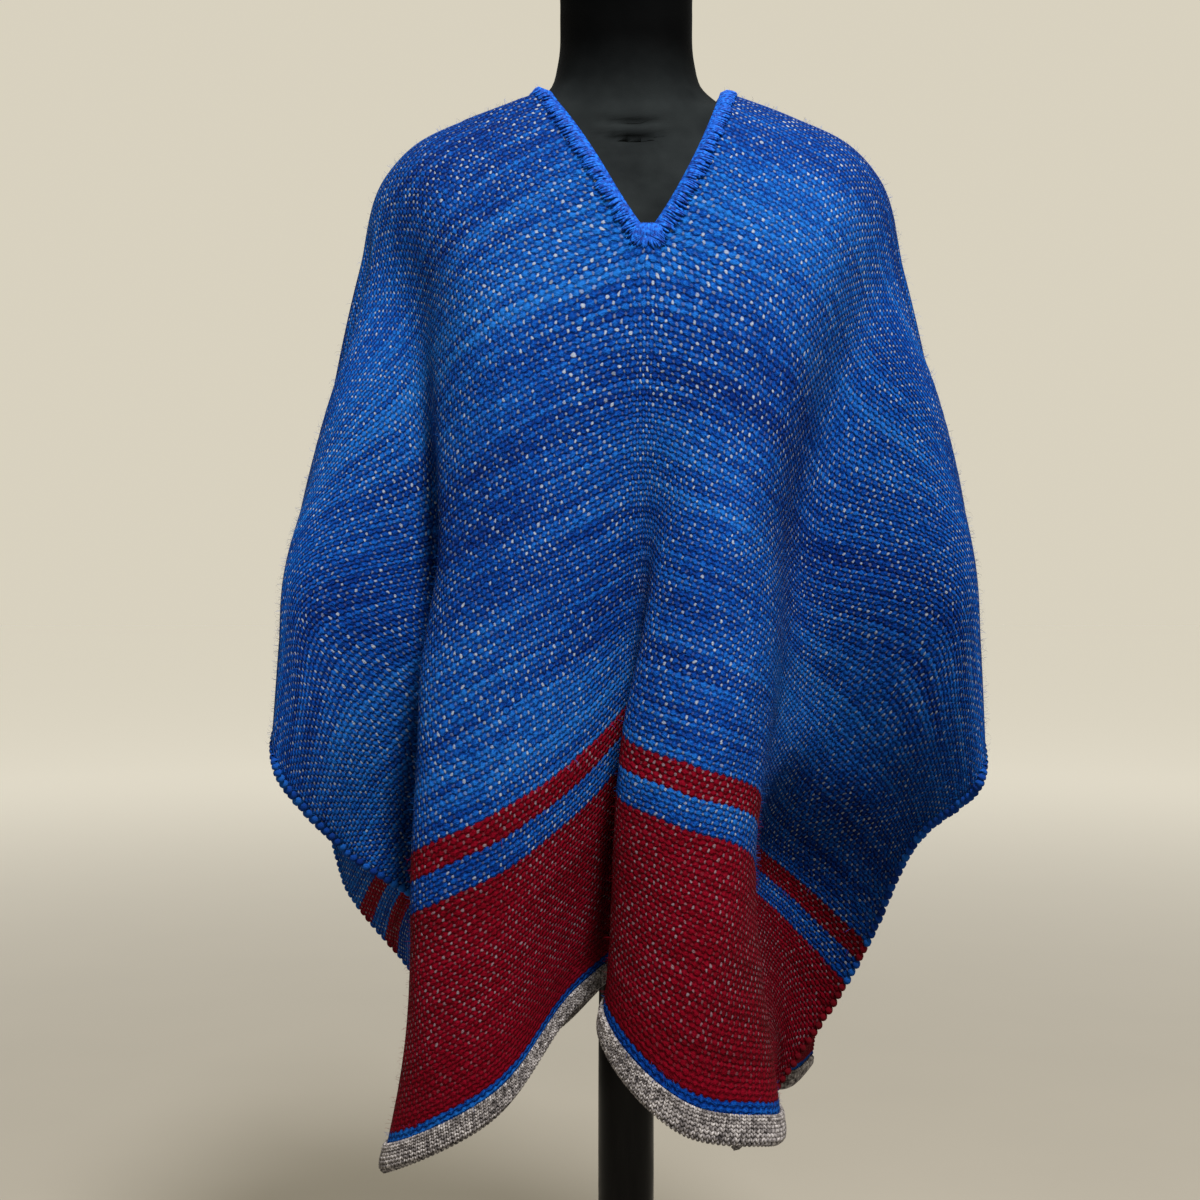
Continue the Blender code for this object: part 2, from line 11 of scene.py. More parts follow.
import bpy
import numpy as np
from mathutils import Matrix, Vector

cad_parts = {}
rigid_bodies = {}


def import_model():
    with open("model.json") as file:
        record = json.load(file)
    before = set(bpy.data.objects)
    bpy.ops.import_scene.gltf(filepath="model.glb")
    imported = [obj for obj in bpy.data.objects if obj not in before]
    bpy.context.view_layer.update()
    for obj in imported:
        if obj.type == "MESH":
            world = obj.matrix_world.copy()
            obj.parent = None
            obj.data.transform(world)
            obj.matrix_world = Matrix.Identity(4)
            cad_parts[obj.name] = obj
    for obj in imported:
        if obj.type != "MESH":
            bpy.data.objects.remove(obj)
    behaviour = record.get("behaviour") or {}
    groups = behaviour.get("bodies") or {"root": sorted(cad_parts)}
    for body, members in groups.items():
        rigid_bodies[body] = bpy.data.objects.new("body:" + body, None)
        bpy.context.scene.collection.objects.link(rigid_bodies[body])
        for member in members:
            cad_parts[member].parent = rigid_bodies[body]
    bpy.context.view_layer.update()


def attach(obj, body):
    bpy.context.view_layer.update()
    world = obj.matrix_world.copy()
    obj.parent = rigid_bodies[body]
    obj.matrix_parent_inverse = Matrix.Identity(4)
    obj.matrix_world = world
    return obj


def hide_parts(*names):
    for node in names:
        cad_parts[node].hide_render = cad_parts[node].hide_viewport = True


# The cloth, laid flat
HALF_WIDTH = 0.61
HEM = 0.93
SLIT_FRONT = 0.236
SLIT_BACK = 0.12
CLOTH_THICKNESS = 0.004
BINDING_HEIGHT = 0.026
TUCK = 0.016
CLOTH_END = HEM - BINDING_HEIGHT + TUCK

# The weave
ROW_PITCH = 0.0050
DOT_PITCH = 0.0076
INTERLOCK = 0.20

# The mesh of the cloth: its step, the step that its directions are read over, and a hair's breadth
GRID_STEP = 0.0071
FRAME_STEP = 0.004
OFF_SLIT = 1e-5

# The weft's turns at the selvedges. LOOP_SWELL is the radius at each ring, as a share.
LOOP_PITCH = 0.0104
LOOP_RADIUS = 0.0037
LOOP_LENGTH = 0.98
LOOP_SWELL = (0.0, 0.62, 0.88, 1.0, 1.0, 0.88, 0.62, 0.0)
LOOP_SIDES = 8
LOOP_OUT = 0.0012
LOOP_CURVE = 0.0026
LOOP_INSET = 0.003
LOOP_SHIFT_SPREAD = 0.0007
LOOP_OUT_SPREAD = 0.0006

# The knit of the hem bindings. A stitch's leg runs out, up and off the base through four points.
BASE_AROUND = 28
BASE_COLUMNS = 205
BASE_SINK = 0.0006
KNIT_STITCH = 0.0042
KNIT_ROWS = 16
KNIT_RADIUS = 0.00105
KNIT_SIDES = 4
LEG_OUT = (0.06, 0.20, 0.40, 0.47)
LEG_RISE = (0.0, 0.45, 1.0, 1.45)
LEG_LIFT = (-0.0004, 0.0003, 0.0003, -0.0004)

# The stitches round the slit: their sizes, and where each ring of a strand lies.
# The low end is the slit's front end, where they are longer and lean more.
STITCH_PITCH = 0.0023
STITCH_RADIUS = 0.0010
STITCH_SIDES = 6
STITCH_RADII = (0, 0.9, 1, 1, 1, 0.85, 0)
EDGE_LENGTH = 0.0095
EDGE_LENGTH_SPREAD = 0.0026
EDGE_LEAN_SPREAD = 0.0030
EDGE_SWELLS = (0.85, 1.3)
EDGE_LAYER_RISE = 0.0006
EDGE_REACH = (-0.55, -0.15, 0.0, 0.25, 0.55, 0.85, 1.0)
EDGE_LIFT = (-1.15, -1.1, 0.0, 1.25, 1.45, 1.45, 1.0)
EDGE_PAST = (0, 0, -0.0022, -0.0004, 0, 0, 0)
LOW_END_REACH = 0.05
LOW_END_LENGTH = 0.0030
LOW_END_LEAN = 0.0035
FAN_LENGTH = 0.0125
FAN_LIFT = (0.8, 1.2, 1.5, 1.6, 1.6, 1.4, 1.0)
END_HALF_WIDTH = 0.0095
END_COUNT = 19
END_ABOVE = 0.0105
END_BELOW = 0.0035
END_CROWN = 0.0022

# The loose fibres
FIBRE_COUNT = 62000
FIBRE_LENGTHS = (0.003, 0.0100)
FIBRE_HALF_WIDTH = 0.00008
FIBRE_ROOT_DEPTH = 0.0004
OUTER_SHARE = 0.65

# How the cloth lies on the form
FORM_CLEARANCE = 0.0024
NECK_SHIFT = 0.006
SIDE_SHIFT = 0.009
NECK_HALF_OPENING = 0.081
NECK_ROUNDING = 0.8
FALL_WIDTH = 0.10
CENTRE_ROUNDING = 0.034
CENTRE_BLEND = 0.070
CENTRE_FADE = 0.28
SHOULDER_U = 0.125
HOLLOW_START = 0.08

# Levels of the tables, as flat distances from the shoulder line
YOKE_LEVEL = 0.17
FRONT_LEVELS = (0.36, 0.50, 0.645, 0.93)
BACK_LEVELS = (0.36, 0.54, 0.74, 0.93)

# Shoulder line and yokes, one side: flat u, then place x, y, z
SHOULDER_LINE = (
    # u, x, y, z
    (0.000, 0.081, 0.000, 1.378),
    (0.065, 0.143, 0.000, 1.356),
    (0.125, 0.196, 0.000, 1.330),
    (0.165, 0.221, 0.000, 1.302),
    (0.250, 0.243, -0.004, 1.220),
    (0.610, 0.305, -0.012, 0.874),
)
FRONT_YOKE = (
    # u, x, y, z
    (0.000, 0.028, -0.116, 1.285),
    (0.125, 0.152, -0.100, 1.222),
    (0.240, 0.196, -0.052, 1.155),
    (0.354, 0.250, -0.098, 1.078),
    (0.610, 0.284, -0.112, 0.846),
)
BACK_YOKE = (
    # u, x, y, z
    (0.000, 0.000, 0.102, 1.278),
    (0.125, 0.133, 0.098, 1.232),
    (0.220, 0.198, 0.048, 1.160),
    (0.290, 0.238, 0.070, 1.105),
    (0.610, 0.308, 0.085, 0.842),
)

# Hollows that fan out from the shoulder point under the side of the cloth.
# Angles are from the shoulder line, plus to the front; depths are for each metre out.
SIDE_HOLLOWS = (
    # middle and half width in degrees, depth inward
    (12.0, 15.0, 0.14),
    (-20.0, 17.0, 0.16),
)

# Folds, left edge to right edge: flat u and place x, y, z at two levels a table
FRONT_UPPER_FOLDS = (
    # fold, u, x, y, z at the chest, u, x, y, z at the waist
    ("left edge", -0.610, -0.272, -0.212, 0.793, -0.610, -0.238, -0.098, 0.716),
    ("left rim", -0.530, -0.268, -0.191, 0.856, -0.520, -0.208, -0.078, 0.768),
    ("left ridge", -0.450, -0.264, -0.170, 0.915, -0.430, -0.163, -0.050, 0.808),
    ("left hollow", -0.290, -0.156, -0.056, 0.964, -0.360, -0.148, -0.062, 0.835),
    ("left fold", -0.190, -0.150, -0.124, 1.010, -0.230, -0.163, -0.150, 0.868),
    ("left crest", -0.125, -0.100, -0.148, 1.045, -0.160, -0.104, -0.166, 0.905),
    ("left slope", -0.060, -0.042, -0.144, 1.074, -0.075, -0.040, -0.147, 0.935),
    ("centre", -0.020, 0.000, -0.136, 1.091, -0.020, 0.004, -0.124, 0.960),
    ("valley", 0.012, 0.024, -0.136, 1.091, 0.020, 0.018, -0.126, 0.960),
    ("right lap", 0.040, 0.050, -0.143, 1.080, 0.062, 0.026, -0.152, 0.945),
    ("right crest", 0.070, 0.075, -0.150, 1.066, 0.112, 0.062, -0.184, 0.930),
    ("right fold", 0.115, 0.105, -0.148, 1.045, 0.170, 0.101, -0.170, 0.908),
    ("right hollow", 0.270, 0.152, -0.060, 0.967, 0.310, 0.138, -0.066, 0.852),
    ("right ridge", 0.440, 0.264, -0.165, 0.915, 0.420, 0.178, -0.056, 0.810),
    ("right rim", 0.520, 0.268, -0.190, 0.855, 0.520, 0.222, -0.078, 0.762),
    ("right edge", 0.610, 0.270, -0.212, 0.785, 0.610, 0.242, -0.095, 0.722),
)
FRONT_LOWER_FOLDS = (
    # fold, u, x, y, z at the stripes, u, x, y, z at the hem
    ("left edge", -0.610, -0.174, -0.035, 0.650, -0.610, -0.172, 0.100, 0.462),
    ("left rim", -0.530, -0.142, 0.014, 0.686, -0.570, -0.166, 0.066, 0.458),
    ("left ridge", -0.470, -0.126, 0.000, 0.700, -0.530, -0.162, 0.030, 0.454),
    ("left hollow", -0.370, -0.146, -0.085, 0.708, -0.450, -0.178, -0.045, 0.456),
    ("left fold", -0.270, -0.171, -0.165, 0.719, -0.340, -0.199, -0.140, 0.458),
    ("left crest", -0.190, -0.103, -0.178, 0.753, -0.220, -0.107, -0.182, 0.515),
    ("left slope", -0.090, -0.035, -0.145, 0.800, -0.100, -0.045, -0.112, 0.585),
    ("centre", -0.020, 0.003, -0.111, 0.838, -0.020, 0.006, -0.057, 0.607),
    ("valley", 0.025, 0.012, -0.128, 0.836, 0.025, 0.018, -0.086, 0.600),
    ("right lap", 0.085, -0.004, -0.168, 0.812, 0.120, -0.022, -0.165, 0.578),
    ("right crest", 0.155, 0.046, -0.215, 0.793, 0.240, 0.044, -0.232, 0.516),
    ("right fold", 0.225, 0.094, -0.190, 0.775, 0.310, 0.107, -0.202, 0.500),
    ("right hollow", 0.330, 0.106, -0.100, 0.735, 0.420, 0.124, -0.085, 0.480),
    ("right ridge", 0.460, 0.122, 0.018, 0.695, 0.530, 0.130, 0.025, 0.452),
    ("right rim", 0.540, 0.165, 0.026, 0.660, 0.570, 0.122, 0.062, 0.430),
    ("right edge", 0.610, 0.215, 0.000, 0.615, 0.610, 0.104, 0.090, 0.400),
)
BACK_UPPER_FOLDS = (
    # fold, u, x, y, z at the blades, u, x, y, z at the hips
    ("left edge", -0.610, -0.300, 0.155, 0.752, -0.610, -0.287, 0.220, 0.638),
    ("left ridge", -0.448, -0.272, 0.165, 0.872, -0.520, -0.248, 0.150, 0.700),
    ("left hollow", -0.260, -0.165, 0.095, 0.960, -0.420, -0.185, 0.115, 0.765),
    ("left fold", -0.200, -0.152, 0.116, 1.005, -0.330, -0.195, 0.165, 0.800),
    ("left crest", -0.130, -0.118, 0.125, 1.050, -0.250, -0.165, 0.185, 0.830),
    ("left dip", -0.070, -0.068, 0.126, 1.080, -0.120, -0.095, 0.138, 0.885),
    ("centre", 0.000, 0.000, 0.122, 1.095, 0.000, 0.000, 0.165, 0.925),
    ("right dip", 0.070, 0.068, 0.126, 1.080, 0.130, 0.098, 0.134, 0.885),
    ("right crest", 0.130, 0.118, 0.125, 1.050, 0.250, 0.162, 0.182, 0.832),
    ("right fold", 0.200, 0.152, 0.116, 1.005, 0.330, 0.195, 0.162, 0.800),
    ("right hollow", 0.260, 0.165, 0.095, 0.960, 0.420, 0.185, 0.112, 0.765),
    ("right ridge", 0.448, 0.272, 0.160, 0.872, 0.520, 0.240, 0.138, 0.700),
    ("right edge", 0.610, 0.298, 0.152, 0.752, 0.610, 0.272, 0.190, 0.645),
)
BACK_LOWER_FOLDS = (
    # fold, u, x, y, z at the stripes, u, x, y, z at the hem
    ("left edge", -0.610, -0.202, 0.182, 0.530, -0.610, -0.208, 0.190, 0.458),
    ("left ridge", -0.520, -0.192, 0.128, 0.575, -0.530, -0.172, 0.138, 0.450),
    ("left hollow", -0.430, -0.162, 0.112, 0.605, -0.440, -0.146, 0.152, 0.446),
    ("left fold", -0.335, -0.190, 0.204, 0.615, -0.340, -0.182, 0.242, 0.440),
    ("left crest", -0.265, -0.150, 0.226, 0.635, -0.280, -0.135, 0.264, 0.450),
    ("left dip", -0.125, -0.082, 0.139, 0.690, -0.130, -0.068, 0.140, 0.500),
    ("centre", 0.000, 0.004, 0.198, 0.728, 0.000, 0.008, 0.230, 0.541),
    ("right dip", 0.125, 0.079, 0.134, 0.688, 0.120, 0.060, 0.132, 0.498),
    ("right crest", 0.265, 0.146, 0.221, 0.638, 0.280, 0.130, 0.258, 0.456),
    ("right fold", 0.335, 0.184, 0.200, 0.616, 0.340, 0.172, 0.238, 0.442),
    ("right hollow", 0.430, 0.160, 0.110, 0.605, 0.440, 0.140, 0.150, 0.444),
    ("right ridge", 0.520, 0.190, 0.126, 0.575, 0.530, 0.160, 0.134, 0.448),
    ("right edge", 0.610, 0.200, 0.175, 0.535, 0.610, 0.186, 0.182, 0.456),
)

# The dress form, ring by ring: height, half width, half depth, middle's y
FORM_RINGS = (
    (0.775, 0.118, 0.074, 0.008),
    (0.782, 0.138, 0.088, 0.008),
    (0.805, 0.153, 0.098, 0.008),
    (0.850, 0.158, 0.101, 0.008),
    (0.900, 0.150, 0.097, 0.006),
    (0.950, 0.136, 0.091, 0.003),
    (1.000, 0.124, 0.086, 0.000),
    (1.050, 0.129, 0.096, -0.004),
    (1.100, 0.142, 0.111, -0.010),
    (1.150, 0.153, 0.120, -0.012),
    (1.200, 0.162, 0.113, -0.008),
    (1.240, 0.172, 0.101, -0.002),
    (1.270, 0.185, 0.092, 0.002),
    (1.288, 0.192, 0.084, 0.004),
    (1.306, 0.194, 0.076, 0.004),
    (1.318, 0.188, 0.068, 0.004),
    (1.330, 0.174, 0.062, 0.003),
    (1.350, 0.137, 0.058, 0.001),
    (1.368, 0.084, 0.056, -0.001),
    (1.382, 0.068, 0.056, -0.003),
    (1.405, 0.061, 0.055, -0.006),
    (1.450, 0.0590, 0.054, -0.010),
    (1.495, 0.0585, 0.054, -0.014),
    (1.512, 0.0540, 0.050, -0.015),
    (1.520, 0.0430, 0.040, -0.015),
)
FORM_SIDES = 96
FORM_STEPS = 150

# The velvet's creases at the front of the neck's base
CREASES = (
    # height, half length, depth
    (1.321, 0.036, 0.0085),
    (1.337, 0.026, 0.0055),
)
CREASE_X = 0.004
CREASE_CURVE = 9.0
CREASE_HALF_WIDTH = 0.0030
CREASE_LIP_DROP = 0.007
CREASE_LIP_HALF_WIDTH = 0.0045
CREASE_LIP_SHARE = 0.7

# The stand: height, radius
POST_PROFILE = (
    (0.0420, 0.0270), (0.0560, 0.0300), (0.0700, 0.0270), (0.0800, 0.0215), (0.0900, 0.0216),
    (0.2600, 0.0240), (0.4400, 0.0250), (0.6200, 0.0235), (0.7300, 0.0200), (0.8340, 0.0200),
)
BASE_PROFILE = (
    (0.0000, 0.1850), (0.0120, 0.1900), (0.0240, 0.1850), (0.0280, 0.1700), (0.0360, 0.0700),
    (0.0417, 0.0360),
)
TURNED_SIDES = 96
TURNED_STEPS = 80
TURNED_EASE = 0.0015

# Stripes, from a hem inward: distance from the hem at which each one starts
FRONT_STRIPES = ((0.0, "blue"), (0.036, "crimson"), (0.236, "blue"), (0.262, "crimson"), (0.288, "blue"))
BACK_STRIPES = FRONT_STRIPES + ((0.314, "crimson"), (0.340, "blue"))
STRIPE_SPAN = 0.5

# Curves of the drape, as in the part's source


def hermite(t, width, start, end, start_slope, end_slope):
    """Places at shares t of cubic pieces, from each one's width, ends and slopes."""
    return (
        (2 * t**3 - 3 * t**2 + 1) * start
        + (t**3 - 2 * t**2 + t) * width * start_slope
        + (3 * t**2 - 2 * t**3) * end
        + (t**3 - t**2) * width * end_slope
    )


def smooth_curve(knots, rows, at):
    """Places at the values `at`, on a smooth curve through rows at the knots."""
    knots = np.asarray(knots, float)
    rows = np.asarray(rows, float)
    gaps = np.diff(knots)
    slopes = np.diff(rows, axis=0) / gaps[:, None]
    tangents = np.empty_like(rows)
    before, after = gaps[:-1, None], gaps[1:, None]
    tangents[1:-1] = (slopes[:-1] * after + slopes[1:] * before) / (before + after)
    tangents[0] = 1.5 * slopes[0] - 0.5 * tangents[1]
    tangents[-1] = 1.5 * slopes[-1] - 0.5 * tangents[-2]
    at = np.clip(np.asarray(at, float), knots[0], knots[-1])
    cell = np.clip(np.searchsorted(knots, at, side="right") - 1, 0, len(gaps) - 1)
    width = gaps[cell][:, None]
    t = (at - knots[cell])[:, None] / width
    return hermite(t, width, rows[cell], rows[cell + 1], tangents[cell], tangents[cell + 1])


def smooth_along(knots, columns, at):
    """Places at the values `at`, one for each column, on curves that overshoot little."""
    knots = np.asarray(knots, float)
    gaps = np.diff(knots)[:, None, None]
    slopes = np.diff(columns, axis=0) / gaps
    tangents = np.zeros_like(columns)
    before, after = slopes[:-1], slopes[1:]
    same_way = before * after > 0
    weight_a, weight_b = 2 * gaps[1:] + gaps[:-1], gaps[1:] + 2 * gaps[:-1]
    safe_before = np.where(same_way, before, 1.0)
    safe_after = np.where(same_way, after, 1.0)
    held = (weight_a + weight_b) / (weight_a / safe_before + weight_b / safe_after)
    mean = (before * gaps[1:] + after * gaps[:-1]) / (gaps[1:] + gaps[:-1])
    tangents[1:-1] = (np.where(same_way, held, 0.0) + mean) / 2
    tangents[0], tangents[-1] = slopes[0], slopes[-1]
    at = np.clip(at, knots[0], knots[-1])
    cell = np.clip(np.searchsorted(knots, at, side="right") - 1, 0, len(knots) - 2)
    width = np.diff(knots)[cell][:, None]
    t = (at - knots[cell])[:, None] / width
    here, after = (cell, np.arange(len(at))), (cell + 1, np.arange(len(at)))
    return hermite(t, width, columns[here], columns[after], tangents[here], tangents[after])


def smooth_step(t):
    """A soft ramp from 0 to 1."""
    t = np.clip(t, 0.0, 1.0)
    return t * t * (3 - 2 * t)


def yoke_places(table, u, side, shift, side_shift=0.0):
    """Places on a yoke table at flat u, one half at a time because the slit parts them."""
    rows = np.asarray(table)
    places = smooth_curve(rows[:, 0], rows[:, 1:], np.abs(u))
    out = np.abs(u) / HALF_WIDTH
    places[:, 0] = side * places[:, 0] + shift * (1 - out) + side_shift * out**2
    return places


def fold_places(upper, lower, level, u):
    """Places on a pair of fold tables at one of their four levels and flat u."""
    first = 1 + 4 * (level % 2)
    rows = np.asarray([row[first:first + 4] for row in (upper, lower)[level // 2]])
    return smooth_curve(rows[:, 0], rows[:, 1:], u)


def level_places(u, side):
    """(levels, places) of columns at flat u, for each level from back hem to front hem."""
    levels = [-level for level in reversed(BACK_LEVELS)]
    levels += [-YOKE_LEVEL, 0.0, YOKE_LEVEL, *FRONT_LEVELS]
    places = [fold_places(BACK_UPPER_FOLDS, BACK_LOWER_FOLDS, k, u) for k in (3, 2, 1, 0)]
    places.append(yoke_places(BACK_YOKE, u, side, NECK_SHIFT))
    places.append(yoke_places(SHOULDER_LINE, u, side, NECK_SHIFT, SIDE_SHIFT))
    places.append(yoke_places(FRONT_YOKE, u, side, 2.5 * NECK_SHIFT))
    places += [fold_places(FRONT_UPPER_FOLDS, FRONT_LOWER_FOLDS, k, u) for k in (0, 1, 2, 3)]
    return levels, np.stack(places)


def side_hollow(u, v):
    """How far the hollows under the sides draw the cloth inward."""
    out = np.clip(np.abs(u) - SHOULDER_U, 0, None)
    reach = np.clip(np.hypot(out, v) - HOLLOW_START, 0, None)
    angle = np.degrees(np.arctan2(v, np.maximum(out, 1e-6)))
    inward = np.zeros_like(reach)
    for middle, half_width, depth in SIDE_HOLLOWS:
        off = np.clip(np.abs(angle - middle) / half_width, 0, 1)
        inward += np.cos(off * math.pi / 2) ** 2 * reach * depth
    return inward


def form_level(points):
    """Below 0 inside the form and above 0 outside it."""
    rings = np.asarray(FORM_RINGS)
    half_width, half_depth, middle = (np.interp(points[:, 2], rings[:, 0], rings[:, k]) for k in (1, 2, 3))
    return np.hypot(points[:, 0] / half_width, (points[:, 1] - middle) / half_depth) - 1


def push_off_form(points, distance):
    """Move the points that lie nearer to the form than distance straight out to it."""
    points = points.copy()
    step = 1e-4
    low, high = FORM_RINGS[0][0] - distance, FORM_RINGS[-1][0]
    for _ in range(12):
        level = form_level(points)
        slope = np.stack([(form_level(points + step * axis) - level) / step for axis in np.eye(3)], axis=1)
        steep = np.linalg.norm(slope, axis=1)
        away = level / steep
        near = (away < distance) & (points[:, 2] > low) & (points[:, 2] < high)
        push = np.where(near, distance - away, 0.0)
        points += slope / steep[:, None] * push[:, None]
    return points


def slit_heights():
    """Heights of the slit's edge at the shoulder line and at its front and back ends."""
    at = np.array([0.0, SLIT_FRONT, -SLIT_BACK])
    levels, centre = level_places(np.zeros(3), np.ones(3))
    return smooth_along(levels, centre, at)[:, 2]


def hang(u, v):
    """The middle of the cloth at flat points (u, v). A signed zero in u picks the side."""
    side = np.where(np.signbit(u), -1.0, 1.0)
    levels, columns = level_places(u, side)
    places = smooth_along(levels, columns, v)
    # Below the slit the rows cross the centre in a round curve, not in a corner
    reach = np.hypot(u, CENTRE_ROUNDING)
    weight = (1 + np.abs(u) / reach)[:, None] / 2
    own = smooth_along(levels, level_places(side * reach, side)[1], v)
    other = smooth_along(levels, level_places(-side * reach, -side)[1], v)
    rounded = own * weight + other * (1 - weight)
    share = smooth_step((v - SLIT_FRONT) / CENTRE_BLEND) + smooth_step((-SLIT_BACK - v) / CENTRE_BLEND)
    share *= 1 - smooth_step((np.abs(v) - SLIT_FRONT) / CENTRE_FADE)
    places[:, 1:] += (rounded - places)[:, 1:] * share[:, None]
    places[:, 0] -= side * side_hollow(u, v)
    edges = []
    for half in (1.0, -1.0):
        centre_levels, centre = level_places(np.zeros_like(v), np.full_like(v, half))
        edges.append(smooth_along(centre_levels, centre, v))
    spread = (edges[0] - edges[1]) / 2
    height = (edges[0] + edges[1])[:, 2] / 2
    top, low_front, low_back = slit_heights()
    low = np.where(v >= 0, low_front, low_back)
    wanted = np.zeros_like(spread)
    climb = np.clip((height - low) / (top - low), 0, 1)
    wanted[:, 0] = NECK_HALF_OPENING * climb**NECK_ROUNDING
    wanted[~((v < SLIT_FRONT) & (v > -SLIT_BACK))] = 0
    fall = 1 - smooth_step(np.abs(u) / FALL_WIDTH)
    return places + side[:, None] * (wanted - spread) * fall[:, None]


def cloth_frame(u, v):
    """Middle of the cloth at flat points, with its unit directions outward, across and along."""
    u, v = np.asarray(u, float), np.asarray(v, float)
    side = np.where(np.signbit(u), -1.0, 1.0)
    near = np.clip(np.abs(u) - FRAME_STEP, 0, None) * side
    far = np.clip(np.abs(u) + FRAME_STEP, None, HALF_WIDTH) * side
    across = (hang(far, v) - hang(near, v)) * side[:, None]
    along = hang(u, np.clip(v + FRAME_STEP, None, HEM)) - hang(u, np.clip(v - FRAME_STEP, -HEM, None))
    across /= np.linalg.norm(across, axis=1, keepdims=True)
    along /= np.linalg.norm(along, axis=1, keepdims=True)
    outward = np.cross(along, across)
    outward /= np.linalg.norm(outward, axis=1, keepdims=True)
    middle = push_off_form(hang(u, v), CLOTH_THICKNESS / 2 + FORM_CLEARANCE)
    return middle, outward, across, along


# Meshes


def add_mesh(name, points, faces, material, flat=None):
    """A smooth mesh piece that rides on the part. flat is each point's UV."""
    mesh = bpy.data.meshes.new(name)
    mesh.from_pydata(np.asarray(points).tolist(), [], faces)
    if flat is not None:
        layer = mesh.uv_layers.new(name="flat")
        corners = np.empty(len(mesh.loops), np.int32)
        mesh.loops.foreach_get("vertex_index", corners)
        layer.data.foreach_set("uv", np.asarray(flat, np.float32)[corners].ravel())
    mesh.shade_smooth()
    mesh.materials.append(material)
    piece = bpy.data.objects.new(name, mesh)
    bpy.context.scene.collection.objects.link(piece)
    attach(piece, "root")
    return piece


def build_cloth(material):
    """The whole cloth as one closed wall with its slit open."""
    end = CLOTH_END
    half = np.linspace(0, HALF_WIDTH, round(HALF_WIDTH / GRID_STEP) + 1)
    columns = np.concatenate([-half[:0:-1], half])
    stops = (-end, -SLIT_BACK, 0.0, SLIT_FRONT, end)
    rows = [-end]
    for low, high in zip(stops[:-1], stops[1:]):
        rows += list(np.linspace(low, high, round((high - low) / GRID_STEP) + 1)[1:])
    keys, flat = {}, []
    for j, v in enumerate(rows):
        for i, u in enumerate(columns):
            sides = (-1, 1) if u == 0 and -SLIT_BACK + 1e-9 < v < SLIT_FRONT - 1e-9 else (0,)
            for side in sides:
                keys[i, j, side] = len(flat)
                flat.append((-0.0 if side == -1 else u, v))
    flat = np.asarray(flat)
    quads = []
    for j in range(len(rows) - 1):
        for i in range(len(columns) - 1):
            side = 1 if columns[i] >= 0 else -1
            corners = ((i, j), (i + 1, j), (i + 1, j + 1), (i, j + 1))
            quads.append(tuple(keys.get((*c, side), keys.get((*c, 0))) for c in corners))
    middle, outward, _, _ = cloth_frame(flat[:, 0], flat[:, 1])
    count = len(flat)
    points = np.concatenate([middle + outward * CLOTH_THICKNESS / 2, middle - outward * CLOTH_THICKNESS / 2])
    edges = set()
    for a, b, c, d in quads:
        edges.update(((a, b), (b, c), (c, d), (d, a)))
    faces = [tuple(reversed(q)) for q in quads] + [tuple(k + count for k in q) for q in quads]
    faces += [(a, b, b + count, a + count) for a, b in edges if (b, a) not in edges]
    return add_mesh("poncho_cloth", points, faces, material, np.concatenate([flat, flat]))


def strands(paths, up, radii, sides):
    """Points and faces of tubes with pointed ends.

    paths and up hold, for each tube, its points and a direction that isn't along it.
    """
    count, rings = paths.shape[:2]
    tangent = np.gradient(paths, axis=1)
    tangent /= np.linalg.norm(tangent, axis=2, keepdims=True)
    beside = np.cross(tangent, up)
    beside /= np.linalg.norm(beside, axis=2, keepdims=True)
    over = np.cross(beside, tangent)
    turn = np.arange(sides) * 2 * math.pi / sides
    radii = np.asarray(radii)[None, 1:-1, None, None]
    ring = (
        paths[:, 1:-1, None] + radii * (np.cos(turn)[:, None] * over[:, 1:-1, None]
                                        + np.sin(turn)[:, None] * beside[:, 1:-1, None])
    )
    inner = rings - 2
    each = inner * sides + 2
    points = np.concatenate([ring.reshape(count, -1, 3), paths[:, :1], paths[:, -1:]], axis=1)
    start, end = inner * sides, inner * sides + 1
    pattern = []
    for k in range(sides):
        n = (k + 1) % sides
        pattern.append((start, n, k))
        last = (inner - 1) * sides
        pattern.append((end, last + k, last + n))
        for r in range(inner - 1):
            a, b = r * sides + k, r * sides + n
            pattern.append((a, b, b + sides, a + sides))
    faces = [tuple(c + tube * each for c in face) for tube in range(count) for face in pattern]
    return points.reshape(-1, 3), faces


def stack_rings(rings):
    """Points and faces of a closed body through rings of equal sides."""
    count, sides = rings.shape[:2]
    faces = []
    for level in range(count - 1):
        for k in range(sides):
            a, b = level * sides + k, level * sides + (k + 1) % sides
            faces.append((a, b, b + sides, a + sides))
    faces.append(tuple(reversed(range(sides))))
    faces.append(tuple((count - 1) * sides + k for k in range(sides)))
    return rings.reshape(-1, 3), faces


